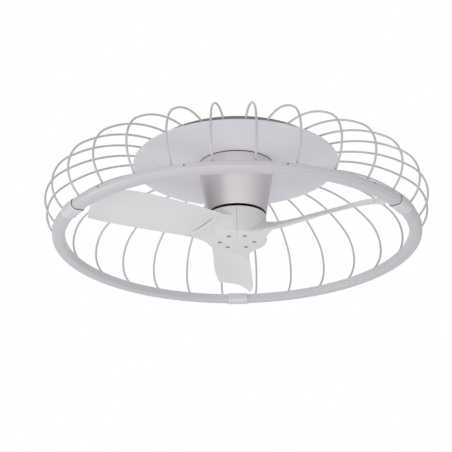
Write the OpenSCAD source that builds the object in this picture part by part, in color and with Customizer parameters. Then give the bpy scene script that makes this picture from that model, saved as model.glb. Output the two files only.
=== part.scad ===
// Orbital ceiling fan: a flush disc and cone carry a three blade fan inside a
// cage of bent wires, and the wires carry a ring light round the blades.
// Millimetres. Z points up, and Z = 0 is the ceiling. Angles start at the near
// side (-Y) and grow towards +X.

/* [Ring light] */
// Outer diameter of the light ring
ring_d = 960; // [940:5:980]
// Width of the ring's section
ring_w = 33; // [31:0.5:35]
// Height of the ring's section
ring_h = 21; // [20:0.5:23]
// Depth from the ceiling to the underside of the ring
ring_drop = 261; // [255:1:267]
// Round of the lower outer edge of the ring
ring_round_out = 11; // [8:0.5:12]
// Round of the lower inner edge of the ring
ring_round_in = 7; // [5:0.5:8]
// Height of the opal cover above the ring's underside
cover_h = 5; // [4:0.5:6]
// Wall of the ring's metal channel
channel_wall = 1.8; // [1.5:0.1:2.2]
// Length of a joint clip along the ring
clip_l = 57; // [50:1:64]
// Wall of a joint clip at its mouths
clip_wall = 1.5; // [1.2:0.1:1.8]
// Gap round the ring in a clip's mouths
clip_mouth_gap = 1.2; // [1:0.1:1.5]
// Depth of a clip's mouths
clip_mouth_l = 6; // [4:0.5:8]

/* [Cage] */
// Wires between two clips
wires_per_segment = 10; // [8:1:11]
// Wire diameter
wire_d = 5.4; // [5:0.2:6]
// Angle at which a wire leaves the ring, from the level
wire_lean = 49; // [46:1:52]
// Straight foot of a wire above the ring
wire_foot = 24.5; // [21:0.5:28]
// Bend radius of a wire's shoulder
shoulder_r = 91; // [88:1:94]
// Distance from the axis at which the wires lie highest
crest_r = 271.66223; // [266:0.1:277]
// Depth from the ceiling to the top of the wires' centre lines
collar_wire_z = 25.3; // [25:0.1:26]
// Turn of all the wires from even places between the clips
wire_turn = -0.5; // [-1:0.1:1]

/* [Ceiling pan and disc] */
// Diameter of the disc under the ceiling
disc_d = 548.6; // [540:0.2:556]
// Depth from the ceiling to the disc's underside
disc_drop = 34; // [33.5:0.5:35]
// Sheet of the disc
disc_t = 1.5; // [1.2:0.1:1.6]
// Outer diameter of the pan that holds the wires
pan_d = 460; // [456:1:464]
// Sheet of the pan
pan_t = 2; // [1.8:0.1:2.2]
// Depth from the ceiling to the top of the pan's plate
pan_plate_z = 11; // [11:0.5:11.5]
// Length of the ceiling bracket
bracket_l = 320; // [300:5:340]
// Width of the ceiling bracket
bracket_w = 60; // [58:1:64]
// Sheet of the ceiling bracket
bracket_t = 3; // [2.5:0.5:3]
// Spacing of the ceiling slots along the bracket
slot_x = 160; // [150:5:170]
// Spacing of the ceiling slots across the bracket
slot_y = 36; // [34:1:38]
// End to end length of a ceiling slot
slot_l = 24; // [20:1:26]
// Width of a ceiling slot
slot_w = 6; // [5.5:0.5:6.5]

/* [Cone housing] */
// Radius of the cone's shoulder under the disc
cone_top_r = 101.5; // [100:0.5:103]
// Radius of the cone's lower rim
cone_rim_r = 79; // [78:0.5:80]
// Wall of the cone
cone_wall = 1.8; // [1.5:0.1:2]
// Gap between the cone's rim and the turning hub
rim_gap = 4.8; // [4:0.2:6]

/* [Hub and motor] */
// Outer radius of the hub
hub_r = 77.5; // [76.5:0.5:78]
// Height of the hub
hub_h = 71.6; // [70:0.2:73]
// Height of the hub's underside above the ring's underside
hub_lift = 9; // [8:0.5:10]
// Wall of the hub's plastic shell
shell_wall = 3; // [2.5:0.1:3.2]
// Radius of the blade screw circle
screw_circle_r = 45; // [44:0.5:46]
// Angle of each blade screw from its blade's axis
screw_angle = 33; // [31:1:34]
// Outer radius of the motor's bell
bell_r = 69; // [68.5:0.5:69.5]
// Stator slots
slots = 18; // [12:3:18]
// Magnet poles
poles = 16; // [14:2:20]

/* [Blades] */
// Radius of the blade tip at its middle
tip_r = 414; // [404:1:420]
// Blade thickness
blade_t = 2.8; // [2.4:0.1:3.2]

/* [Hidden] */
$fa = 3;
$fs = 1.2;
eps = 0.01;
// ring segments with as many clips, and blades
segments = 3;
blades = 3;
// running gap, slide gap and gap round a bolt's shank
run_gap = 0.05;
slide_gap = 0.1;
bolt_gap = 0.15;

// colours seen on the object, and of the metal inside
off_white = [0.83, 0.82, 0.84];
pan_grey = [0.40, 0.38, 0.39];
hub_white = [0.86, 0.87, 0.86];
opal = [0.93, 0.93, 0.94];
satin = [0.78, 0.75, 0.77];
zinc = [0.70, 0.71, 0.73];
cast_alu = [0.66, 0.67, 0.69];
steel = [0.55, 0.56, 0.58];
dark_steel = [0.30, 0.31, 0.33];
foam = [0.10, 0.10, 0.11];
lamination = [0.38, 0.40, 0.44];
copper = [0.72, 0.42, 0.24];
board = [0.90, 0.91, 0.90];
chip = [0.95, 0.85, 0.45];

// the ring: its underside, its centre line, and where segments and clips lie
ring_z = -ring_drop;
ring_r = ring_d / 2 - ring_w / 2;
pitch_angle = 360 / segments;
seam_gap = 2;
seam_angle = seam_gap / ring_r * 180 / PI;
clip_angle = clip_l / ring_r * 180 / PI;
mouth_angle = clip_mouth_l / ring_r * 180 / PI;
segment_mid = [for (i = [0:segments - 1]) i * pitch_angle];
clip_at = [for (mid = segment_mid) mid + pitch_angle / 2];
top_round = 2.5;
top_wall = 2;
spine_w = 16;
spine_h = 3;
strip_w = 12;
strip_t = 1.2;
led_count = 32;
led_size = 5;
led_h = 1.4;
diffuser_wall = 2;
leg_h = 5;
leg_t = 1.6;
leg_sink = 2.2;
ledge_t = 1.4;
ring_screw_at = [-43, -14.4, 14.4, 43];
ring_screw_h = 16.5;
ring_screw_r = 1.2;
ring_screw_l = 4.5;
ring_screw_head_r = 1.9;
ring_screw_head_h = 0.9;

// wire path, as radius and height from its foot in the ring to the collar
wire_r = wire_d / 2;
foot_depth = 4;
foot_hole_h = 12;
foot_z = ring_z + ring_h;
arc_start = [ring_r + wire_foot * cos(wire_lean), foot_z + wire_foot * sin(wire_lean)];
shoulder_c = arc_start + shoulder_r * [-sin(wire_lean), cos(wire_lean)];
// the shoulder runs on in line into the long bend, which is highest at the crest
shoulder_end = 2 * atan2(shoulder_c[0] - crest_r, -collar_wire_z - shoulder_c[1] - shoulder_r);
shoulder_p = shoulder_c + shoulder_r * [sin(shoulder_end), -cos(shoulder_end)];
span_r = shoulder_r + (shoulder_c[0] - crest_r) / sin(shoulder_end);
span_c = [crest_r, -collar_wire_z - span_r];
pan_r = pan_d / 2;
wire_inset = 4;
wire_in_r = pan_r - pan_t - wire_inset;
span_end = 180 - asin((wire_in_r - span_c[0]) / span_r);
collar_hole_r = pan_r - pan_t / 2;
collar_hole_z = span_c[1] + sqrt(pow(span_r, 2) - pow(collar_hole_r - span_c[0], 2));
collar_tilt = asin((span_c[0] - collar_hole_r) / span_r);
bend_joint_l = 1;
bend_joint_t = 0.02;

// ceiling pieces
disc_top = -disc_drop + disc_t;
plate_top = -pan_plate_z;
plate_low = plate_top - pan_t;
pan_edge_z = -0.5;
rib_at = [179, 210];
rib_w = 8;
rib_h = 2;
bracket_bolt_x = 130;
bracket_bolt_y = 15;
m6_r = 3;
m6_tap_r = m6_r + run_gap;
m6_head_r = 5.5;
m6_head_h = 3;
m6_nut_h = 4.5;
bracket_thread_l = 7.5;
bracket_boss_r = 6.5;
stud_count = 6;
stud_circle_r = 190;
stud_r = 3;
stud_collar = 2;
stud_head = 0.6;
stud_head_h = 2.5;
disc_edge_h = 1.2;
disc_round = 1.4;
disc_lip_h = 2;
cable_hole_r = 15;

// terminal block and electronics cases under the pan's plate
block_l = 60;
block_w = 16;
block_h = 14;
block_y = 62;
block_ways = 5;
block_screw_r = 2.2;
block_wire_r = 1.8;
case_l = 76;
case_w = 33;
case_x = 62;
case_line = 1;
case_vent_l = 24;
case_vent_pitch = 6;
case_ear_l = 14;
case_ear_w = 8;
case_ear_t = 2;
case_ear_hole_r = 1.7;
receiver_h = 26;
driver_h = 30;

// cone: its shoulder presses a gasket against the disc, and its neck goes on to the pan
gasket_h = 2.4;
gasket_inset = 0.8;
neck_r = cone_top_r - 2.6;
shoulder_z = -disc_drop - gasket_h;
cone_rim_z = ring_z + hub_lift + hub_h + rim_gap;
rim_round = 1.5;
rim_lip = 3;
cone_slope = (cone_top_r - cone_rim_r) / (shoulder_z - cone_rim_z - rim_round);
cone_flange_w = 10;
cone_screw_circle_r = neck_r - 5.5;
cone_screw_r = 1.65;
cone_screw_head_r = 3.6;
cone_screw_head_h = 2;
disc_hole_r = neck_r + 1;

// hanger and shaft
hanger_foot_r = 42;
hanger_foot_t = 6;
hanger_neck_r = 17;
hanger_neck_l = 92;
hanger_low = plate_low - hanger_foot_t - hanger_neck_l;
hanger_bolt_r = 32;
hanger_bolt_at = [60, 120, 240, 300];
hanger_gusset_t = 5;
hanger_gusset_h = 40;
shaft_r = 8.5;
shaft_neck_r = 10;
shaft_bore_r = 4.5;
shaft_top_drop = 47;
shaft_top_z = plate_low - shaft_top_drop;
shaft_collar_h = 8;
shaft_end_l = 5;
lead_hole_r = 3;
lead_hole_h = 16;
cross_bolt_drop = 78;
cross_bolt_z = plate_low - cross_bolt_drop;
cross_bolt_r = 3;
shaft_nut_r = 12.5;
shaft_nut_h = 4;

// hub and motor, stacked up from the hub's underside
hub_z = ring_z + hub_lift;
floor_t = 3;
boss_h = 9;
screw_seat_h = 6.5;
screw_recess_r = 6;
blade_screw_r = 2.45;
blade_screw_head_r = 4.8;
blade_screw_head_h = 3;
boss_wall = 2.2;
sector_gap = 0.35;
hub_low_round = 2;
hub_top_round = 1.2;
bell_z = hub_z + boss_h;
bell_plate_t = 6;
bell_wall_t = 4;
bearing_r = 20;
bearing_w = 12;
bearing_in_r = 11.5;
bearing_out_r = 16.8;
bearing_seat_r = bearing_r + 5;
shield_t = 1;
shield_gap = 0.4;
ball_r = 2.6;
ball_count = 8;
bore_clear_r = 16;
lower_bearing_z = bell_z + bell_plate_t;
bearing_pitch = 27;
upper_bearing_z = lower_bearing_z + bearing_pitch;
cover_z = upper_bearing_z + bearing_w;
bell_cover_t = 5;
ear_r = 3.2;
ear_circle_r = bell_r + 2;
ear_h = 18;
cover_screw_r = 1.45;
cover_screw_l = 8;
cover_screw_head_h = 2.2;
motor_rib_t = 3;
cover_rib_l = 34;
vent_at = 46;
vent_r = 5;
magnet_out_r = bell_r - bell_wall_t - 3;
magnet_t = 3.5;
air_gap = 0.8;
core_r = magnet_out_r - magnet_t - air_gap;
core_h = 24;
core_z = (lower_bearing_z + cover_z) / 2 - core_h / 2;
magnet_h = 28;
magnet_z = core_z + core_h / 2 - magnet_h / 2;
sleeve_r = 13;
carrier_web_t = 6;
carrier_rim_t = 1.6;
carrier_hole_at = 20;
carrier_hole_r = 4.5;
yoke_in_r = 28;
yoke_out_r = 36;
tooth_w = 5;
shoe_t = 3.5;
coil_w = 3;
coil_over = 3.5;

// Blade sections, drawn for a tip at drawn_tip_r and scaled to tip_r: distance
// from the hub's axis, then the leading and trailing edges' offsets from the
// blade's axis, their heights above the hub's underside, and the rise of the
// camber at mid chord.
blade_sections = [
    [44, 60, -61, 47, 7, 20],
    [78, 64, -38, 42, 5, 20],
    [104, 67, -32, 43, 4, 15],
    [160, 69, -35, 47, 4, 10],
    [230, 67, -39, 51, 4, 9],
    [300, 67, -42, 53, 4, 9],
    [360, 64, -44, 49, 4, 12],
    [414, 51, -36, 29, 3, 16]];
drawn_tip_r = blade_sections[len(blade_sections) - 1][0];
blade_scale = tip_r / drawn_tip_r;
blade_first = 60;
blade_at = [for (i = [0:blades - 1]) blade_first + i * 360 / blades];
span_steps = 16;
chord_steps = 12;
tip_lead_cut = 13;
tip_trail_cut = 6;
root_depth = 1.6;
root_r = hub_r - root_depth;

// web from the blade's root to the hub's floor, rooted deeper in the wall than the blade
web_steps = 8;
web_across = 5;
web_root_r = root_r - 0.7;
web_start_t = 25;
web_tip_s = 134;
web_tip_w = 5;
web_far_s = 58;
web_inset = 1.5;
web_lift = 0.4;
web_rise = 2.2;
web_sink = 0.2;

// ---------- functions ----------

// smooth value of one column of the blade's sections at distance s
function row_below(s, i = 0) =
    i >= len(blade_sections) - 2 || s < blade_sections[i + 1][0] ? i : row_below(s, i + 1);
function slope_at(i, c) = let(
    a = blade_sections[max(0, i - 1)],
    b = blade_sections[min(len(blade_sections) - 1, i + 1)])
    (b[c] - a[c]) / (b[0] - a[0]);
function drawn_value(s, c) = let(
    i = row_below(s),
    p = blade_sections[i],
    q = blade_sections[i + 1],
    w = q[0] - p[0],
    t = (s - p[0]) / w)
    p[c] * (2 * t * t * t - 3 * t * t + 1) + q[c] * (3 * t * t - 2 * t * t * t)
    + w * slope_at(i, c) * (t * t * t - 2 * t * t + t) + w * slope_at(i + 1, c) * (t * t * t - t * t);
function section_value(s, c) = blade_scale * drawn_value(s / blade_scale, c);

// point of the blade's middle surface, k = 0 at the trailing edge, 1 at the leading
function blade_mid(s, k) = let(
    lead = section_value(s, 1), trail = section_value(s, 2),
    up = section_value(s, 3), low = section_value(s, 4),
    chord = norm([lead - trail, up - low]),
    rise = 4 * k * (1 - k) * section_value(s, 5))
    [s, trail + (lead - trail) * k - rise * (up - low) / chord,
     hub_z + low + (up - low) * k + rise * (lead - trail) / chord];
function blade_half_t(k) = blade_t / 2 * sqrt(max(0, 1 - pow(abs(2 * k - 1), 8)));
function chord_k(i) = (1 - cos(180 * i / chord_steps)) / 2;
// where the blade meets the hub's wall, found by stepping along the chord line
function root_s(k, steps = 5, s = 60) = steps == 0 ? s : let(t = blade_mid(s, k)[1])
    root_s(k, steps - 1, sqrt(root_r * root_r - t * t));
function tip_s(k) = tip_r - tip_trail_cut * pow(2 * k - 1, 2) * (1 - k)
    - tip_lead_cut * pow(2 * k - 1, 2) * k;
function blade_point(u, k, side) = let(
    s = root_s(k) + (tip_s(k) - root_s(k)) * u,
    p = blade_mid(s, k))
    p + [0, 0, side * blade_half_t(k)];

// one closed ring of section points: the top side out, the underside back
function blade_ring(u) = concat(
    [for (i = [0:chord_steps]) blade_point(u, chord_k(i), 1)],
    [for (i = [chord_steps - 1:-1:1]) blade_point(u, chord_k(i), -1)]);

// distance from the ring's centre line to the outside of a cover leg, on the outer side (1) or the
// inner side (-1): it lies against the inside of the channel's wall where the cover ends
function leg_x(side) = let(r = side > 0 ? ring_round_out : ring_round_in)
    ring_w / 2 - r + sqrt(pow(r - channel_wall - slide_gap, 2) - pow(r - cover_h, 2));

// ---------- shared shapes ----------

module at_angle(a) rotate([0, 0, a - 90]) children();

module around(count, first = 0)
    for (i = [0:count - 1]) at_angle(first + i * 360 / count) children();

module tube(r_out, r_in, h) difference() {
    cylinder(r = r_out, h = h);
    translate([0, 0, -1]) cylinder(r = r_in, h = h + 2);
}

// cuts one corner of a profile to a round of radius r
module corner_cut(x, y, r, right, up) translate([x, y]) mirror([right, 0]) mirror([0, up]) difference() {
    translate([-1, -1]) square(r + 1);
    translate([r, r]) circle(r);
}

// the ring's section, grown by g on every side, seen with the outside at +X
module ring_profile(g = 0) difference() {
    translate([-ring_w / 2 - g, -g]) square([ring_w + 2 * g, ring_h + 2 * g]);
    corner_cut(ring_w / 2 + g, -g, ring_round_out + g, 1, 0);
    corner_cut(-ring_w / 2 - g, -g, ring_round_in + g, 0, 0);
    corner_cut(ring_w / 2 + g, ring_h + g, top_round + g, 1, 1);
    corner_cut(-ring_w / 2 - g, ring_h + g, top_round + g, 0, 1);
}

// the room behind a wall of the ring's section, up to height top
module ring_hollow(wall, top) difference() {
    translate([-ring_w / 2 + wall, wall]) square([ring_w - 2 * wall, top - wall]);
    corner_cut(ring_w / 2 - wall, wall, ring_round_out - wall, 1, 0);
    corner_cut(-ring_w / 2 + wall, wall, ring_round_in - wall, 0, 0);
}

// strip of the section on its outer side (1) or inner side (-1), from near to far of the centre line
module side_strip(side, near, far, y, h) translate([side > 0 ? near : -far, y]) square([far - near, h]);

// sweeps a ring profile over an angle that is centred on mid
module ring_sweep(mid, angle) at_angle(mid - angle / 2)
    translate([0, 0, ring_z]) rotate_extrude(angle = angle) translate([ring_r, 0]) children();

// places its child in the radial plane of each wire of a segment, X outwards
module each_wire(mid) for (i = [0:wires_per_segment - 1])
    at_angle(mid + wire_turn + (i + 0.5 - wires_per_segment / 2) * pitch_angle / wires_per_segment)
        children();

// leaning rod along a wire's foot, from depth below the ring's top to h above it
module foot_rod(r, depth, h) translate([ring_r, 0, foot_z]) rotate([0, 90 - wire_lean, 0])
    translate([0, 0, -depth]) cylinder(r = r, h = depth + h, $fn = 24);

// arc of wire in the XZ plane about centre c, from direction a to direction b
module wire_arc(c, r, a, b) translate([c[0], 0, c[1]]) rotate([90, 0, 0]) rotate([0, 0, a - 90])
    rotate_extrude(angle = b - a, $fn = 90) translate([r, 0]) circle(wire_r, $fn = 16);

// joint between two bends, at point p of the radial plane and in direction a
module bend_joint(p, a) translate([p[0], 0, p[1]]) rotate([0, 90 - a, 0])
    translate([0, 0, -bend_joint_l / 2]) cylinder(r = wire_r + bend_joint_t, h = bend_joint_l, $fn = 24);

module one_wire() {
    foot_rod(wire_r, foot_depth, wire_foot);
    bend_joint(arc_start, wire_lean);
    wire_arc(shoulder_c, shoulder_r, wire_lean, shoulder_end);
    bend_joint(shoulder_p, shoulder_end);
    wire_arc(span_c, span_r, shoulder_end, span_end);
}

// pan head screw pointing up from its seat at Z = 0, with a cross recess
module pan_screw(r, l, head_r, head_h) difference() {
    union() {
        translate([0, 0, -head_h]) cylinder(r = head_r, h = head_h);
        cylinder(r = r, h = l);
    }
    for (a = [0, 90]) rotate([0, 0, a])
        translate([-head_r * 0.6, -0.5, -head_h - 1]) cube([head_r * 1.2, 1, 2.2]);
}

// hexagon head bolt pointing up from its seat at Z = 0
module hex_bolt(r, l, head_r, head_h) {
    translate([0, 0, -head_h]) cylinder(r = head_r, h = head_h, $fn = 6);
    cylinder(r = r, h = l);
}

// ---------- ceiling pieces ----------

module ceiling_bracket() color(zinc) difference() {
    union() {
        translate([-bracket_l / 2, -bracket_w / 2, -bracket_t])
            cube([bracket_l, bracket_w, bracket_t]);
        for (y = [-bracket_w / 2, bracket_w / 2 - bracket_t])
            translate([-bracket_l / 2, y, -pan_plate_z]) cube([bracket_l, bracket_t, pan_plate_z]);
        for (x = [-1, 1]) for (y = [-1, 1])
            translate([x * bracket_bolt_x, y * bracket_bolt_y, -pan_plate_z])
                cylinder(r = bracket_boss_r, h = pan_plate_z);
    }
    translate([0, 0, -bracket_t - 1]) cylinder(r = cable_hole_r, h = bracket_t + 2);
    for (x = [-1, 1]) for (y = [-1, 1]) {
        translate([x * slot_x / 2, y * slot_y / 2, -bracket_t - 1]) slot_cut();
        translate([x * bracket_bolt_x, y * bracket_bolt_y, -pan_plate_z - 1])
            cylinder(r = m6_tap_r, h = pan_plate_z - 1);
    }
}

// straight slot with round ends, along X
module slot_cut() {
    for (s = [-1, 1]) translate([s * (slot_l - slot_w) / 2, 0, 0])
        cylinder(r = slot_w / 2, h = bracket_t + 2);
    translate([-(slot_l - slot_w) / 2, -slot_w / 2, 0]) cube([slot_l - slot_w, slot_w, bracket_t + 2]);
}

module bracket_bolts() color(steel) for (x = [-1, 1]) for (y = [-1, 1])
    translate([x * bracket_bolt_x, y * bracket_bolt_y, plate_low])
        hex_bolt(m6_r, pan_t + bracket_thread_l, m6_head_r, m6_head_h);

module chassis_pan() color(pan_grey) difference() {
    union() {
        translate([0, 0, plate_low]) cylinder(r = pan_r - eps, h = pan_t);
        translate([0, 0, disc_top]) tube(pan_r, pan_r - pan_t, pan_edge_z - disc_top);
        // pressed stiffening ribs
        for (r = rib_at) translate([0, 0, plate_top - eps]) tube(r + rib_w / 2, r - rib_w / 2, rib_h);
    }
    translate([0, 0, plate_low - 1]) cylinder(r = cable_hole_r, h = pan_t + 2);
    for (x = [-1, 1]) for (y = [-1, 1])
        translate([x * bracket_bolt_x, y * bracket_bolt_y, plate_low - 1])
            cylinder(r = m6_r + bolt_gap, h = pan_t + 2);
    for (a = hanger_bolt_at) at_angle(a) translate([hanger_bolt_r, 0, plate_low - 1])
        cylinder(r = m6_r + bolt_gap, h = pan_t + 2);
    around(4, 0) translate([cone_screw_circle_r, 0, plate_low - 1])
        cylinder(r = cone_screw_r + 2 * bolt_gap, h = pan_t + 2);
    around(stud_count, 30) translate([stud_circle_r, 0, plate_low - 1])
        cylinder(r = stud_r + bolt_gap, h = pan_t + 2);
    for (mid = segment_mid) each_wire(mid) translate([collar_hole_r, 0, collar_hole_z])
        rotate([0, 90 - collar_tilt, 0]) translate([0, 0, -pan_t])
        cylinder(r = wire_r + slide_gap, h = 2 * pan_t, $fn = 24);
}

module canopy_disc() color(off_white) difference() {
    union() {
        translate([0, 0, -disc_drop]) rotate_extrude() difference() {
            square([disc_d / 2, disc_t + disc_edge_h]);
            corner_cut(disc_d / 2, 0, disc_round, 1, 0);
            translate([-1, disc_t]) square([disc_d / 2 - disc_t + 1, disc_edge_h + 1]);
        }
        // rolled edge round the cone's hole
        translate([0, 0, -disc_drop]) tube(disc_hole_r + disc_t, disc_hole_r, disc_t + disc_lip_h);
    }
    translate([0, 0, -disc_drop - 1]) cylinder(r = disc_hole_r, h = disc_t + disc_lip_h + 2);
}

module disc_studs() color(zinc) around(stud_count, 30) translate([stud_circle_r, 0, 0]) {
    translate([0, 0, disc_top]) cylinder(r = stud_r + stud_collar, h = plate_low - disc_top);
    translate([0, 0, plate_low]) cylinder(r = stud_r, h = pan_t);
    translate([0, 0, plate_top]) cylinder(r1 = stud_r + stud_head, r2 = stud_r - stud_head, h = stud_head_h);
}

module terminal_block() color(opal) translate([-block_l / 2, block_y, plate_low - block_h]) difference() {
    cube([block_l, block_w, block_h]);
    for (i = [0:block_ways - 1]) translate([(i + 0.5) * block_l / block_ways, 0, 0]) {
        translate([0, block_w / 2, -1]) cylinder(r = block_screw_r, h = block_h / 2 + 1);
        translate([0, -1, block_h / 3]) rotate([-90, 0, 0]) cylinder(r = block_wire_r, h = block_w + 2);
    }
}

// electronics case under the pan's plate at x, with a lid line, vents and mounting ears
module electronics_case(x, h) translate([x, 0, plate_low - h]) {
    difference() {
        translate([-case_w / 2, -case_l / 2, 0]) cube([case_w, case_l, h]);
        for (s = [-1, 1]) translate([-case_w / 2 - 1, s * (case_l / 2 - case_line) - case_line / 2, h * 0.6])
            cube([case_w + 2, case_line, case_line]);
        for (i = [-4:4]) translate([-case_vent_l / 2, i * case_vent_pitch - case_line, -case_line])
            cube([case_vent_l, 2 * case_line, 2 * case_line]);
    }
    for (s = [-1, 1]) translate([0, s * (case_l / 2 + case_ear_w / 2 - 1), h - case_ear_t]) difference() {
        translate([-case_ear_l / 2, -case_ear_w / 2, 0]) cube([case_ear_l, case_ear_w, case_ear_t]);
        translate([0, 0, -1]) cylinder(r = case_ear_hole_r, h = case_ear_t + 2);
    }
}

module receiver_box() color(dark_steel) electronics_case(-case_x, receiver_h);

module led_driver() color(board) electronics_case(case_x, driver_h);

// ---------- cone ----------

module cone_housing() color(satin) difference() {
    translate([0, 0, cone_rim_z]) rotate_extrude() {
        shoulder_y = shoulder_z - cone_rim_z;
        top_y = plate_low - cone_rim_z;
        polygon([
            [cone_rim_r - cone_wall, rim_round], [cone_rim_r, rim_round],
            [cone_top_r, shoulder_y], [neck_r, shoulder_y],
            [neck_r, top_y], [neck_r - cone_flange_w, top_y],
            [neck_r - cone_flange_w, top_y - cone_wall], [neck_r - cone_wall, top_y - cone_wall],
            [neck_r - cone_wall, shoulder_y - cone_wall],
            [cone_top_r - cone_wall * (1 + cone_slope), shoulder_y - cone_wall],
            [cone_rim_r - cone_wall, rim_round + cone_wall]]);
        // rolled rim
        difference() {
            translate([cone_rim_r - rim_lip, 0]) square([rim_lip, rim_round + cone_wall]);
            corner_cut(cone_rim_r, 0, rim_round, 1, 0);
        }
    }
    around(4, 0) translate([cone_screw_circle_r, 0, plate_low - cone_wall - 2])
        cylinder(r = cone_screw_r + run_gap, h = cone_wall + 4);
}

module cone_gasket() color(foam) translate([0, 0, shoulder_z])
    tube(cone_top_r - gasket_inset, neck_r + slide_gap, gasket_h);

module cone_screws() color(steel) around(4, 0) translate([cone_screw_circle_r, 0, plate_top])
    mirror([0, 0, 1]) pan_screw(cone_screw_r, pan_t + cone_wall + 2, cone_screw_head_r, cone_screw_head_h);

// ---------- hanger and shaft ----------

module hanger_flange() color(cast_alu) difference() {
    union() {
        translate([0, 0, plate_low - hanger_foot_t]) cylinder(r = hanger_foot_r, h = hanger_foot_t);
        translate([0, 0, hanger_low]) cylinder(r = hanger_neck_r, h = hanger_neck_l + 1);
        // ribs from the neck to the foot
        around(4, 0) rotate([90, 0, 0]) translate([0, 0, -hanger_gusset_t / 2])
            linear_extrude(hanger_gusset_t) polygon([
            [hanger_neck_r - 2, plate_low - hanger_foot_t - hanger_gusset_h],
            [hanger_neck_r - 2, plate_low - 1], [hanger_foot_r - 3, plate_low - 1],
            [hanger_foot_r - 3, plate_low - hanger_foot_t - 2]]);
    }
    translate([0, 0, hanger_low - 1]) cylinder(r = shaft_neck_r + run_gap, h = shaft_top_z - hanger_low + 1);
    translate([0, 0, shaft_top_z - 1]) cylinder(r = shaft_bore_r + 1, h = 60);
    for (a = hanger_bolt_at) at_angle(a) translate([hanger_bolt_r, 0, plate_low - hanger_foot_t - 1])
        cylinder(r = m6_r + bolt_gap, h = hanger_foot_t + 2);
    cross_bolt_hole();
}

module cross_bolt_hole() translate([-hanger_neck_r - 1, 0, cross_bolt_z]) rotate([0, 90, 0])
    cylinder(r = cross_bolt_r + bolt_gap, h = 2 * hanger_neck_r + 2);

module flange_bolts() color(steel) for (a = hanger_bolt_at) at_angle(a)
    translate([hanger_bolt_r, 0, plate_low - hanger_foot_t]) {
        hex_bolt(m6_r, hanger_foot_t + pan_t + m6_nut_h + 1, m6_head_r, m6_head_h);
        translate([0, 0, hanger_foot_t + pan_t]) cylinder(r = m6_head_r, h = m6_nut_h, $fn = 6);
    }

module motor_shaft() color(steel) difference() {
    union() {
        translate([0, 0, lower_bearing_z - shaft_end_l])
            cylinder(r = shaft_r, h = cover_z - lower_bearing_z + shaft_end_l);
        translate([0, 0, cover_z]) cylinder(r = bearing_in_r, h = shaft_collar_h);
        translate([0, 0, cover_z]) cylinder(r = shaft_neck_r, h = shaft_top_z - cover_z);
    }
    translate([0, 0, lower_bearing_z - shaft_end_l - 1])
        cylinder(r = shaft_bore_r, h = shaft_top_z - lower_bearing_z + shaft_end_l + 2);
    cross_bolt_hole();
    // outlet for the motor leads under the cone's rim
    translate([0, 0, cover_z + lead_hole_h]) rotate([0, 90, 0])
        cylinder(r = lead_hole_r, h = 2 * shaft_neck_r);
}

module cross_bolt() color(steel) translate([-hanger_neck_r, 0, cross_bolt_z]) rotate([0, 90, 0]) {
    hex_bolt(cross_bolt_r, 2 * hanger_neck_r + m6_nut_h + 3, m6_head_r, m6_head_h);
    translate([0, 0, 2 * hanger_neck_r]) cylinder(r = m6_head_r, h = m6_nut_h, $fn = 6);
}

module shaft_nut() color(steel) translate([0, 0, lower_bearing_z - shaft_nut_h]) difference() {
    cylinder(r = shaft_nut_r, h = shaft_nut_h, $fn = 6);
    translate([0, 0, -1]) cylinder(r = shaft_r + eps, h = shaft_nut_h + 2);
}

// ---------- motor ----------

module bearing_inner(z) color(steel) translate([0, 0, z]) tube(bearing_in_r, shaft_r + eps, bearing_w);

// outer race with its balls and the two dust shields
module bearing_outer(z) color(cast_alu) translate([0, 0, z]) {
    tube(bearing_r, bearing_out_r, bearing_w);
    for (h = [shield_gap, bearing_w - shield_gap - shield_t]) translate([0, 0, h])
        tube(bearing_out_r + 0.5, bearing_in_r + shield_gap, shield_t);
    around(ball_count) translate([(bearing_in_r + bearing_out_r) / 2 + 0.1, 0, bearing_w / 2])
        sphere(r = ball_r);
}

module stator_carrier() color(cast_alu) {
    translate([0, 0, lower_bearing_z + bearing_w])
        tube(sleeve_r - 2, shaft_r + eps, bearing_pitch - bearing_w);
    translate([0, 0, core_z + core_h / 2 - carrier_web_t / 2]) difference() {
        cylinder(r = yoke_in_r, h = carrier_web_t);
        translate([0, 0, -1]) cylinder(r = sleeve_r - 2.5, h = carrier_web_t + 2);
        around(6, 30) translate([carrier_hole_at, 0, -1]) cylinder(r = carrier_hole_r, h = carrier_web_t + 2);
    }
    translate([0, 0, core_z]) tube(yoke_in_r, yoke_in_r - carrier_rim_t, core_h);
}

module stator_core() color(lamination) translate([0, 0, core_z]) linear_extrude(core_h) {
    difference() {
        circle(yoke_out_r);
        circle(yoke_in_r);
    }
    for (i = [0:slots - 1]) rotate(i * 360 / slots) {
        translate([yoke_out_r - 1, -tooth_w / 2]) square([core_r - shoe_t - yoke_out_r + 2, tooth_w]);
        intersection() {
            difference() {
                circle(core_r);
                circle(core_r - shoe_t);
            }
            polygon([[0, 0], [core_r * 1.1, -core_r * 0.14], [core_r * 1.1, core_r * 0.14]]);
        }
    }
}

module stator_windings() color(copper) for (i = [0:slots - 1]) rotate([0, 0, i * 360 / slots])
    translate([yoke_out_r + 1.5, 0, core_z]) difference() {
        coil_l = core_r - shoe_t - yoke_out_r - 2.5;
        translate([0, -tooth_w / 2 - coil_w, -coil_over])
            cube([coil_l, tooth_w + 2 * coil_w, core_h + 2 * coil_over]);
        translate([-1, -tooth_w / 2, 0]) cube([coil_l + 2, tooth_w, core_h]);
    }

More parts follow.
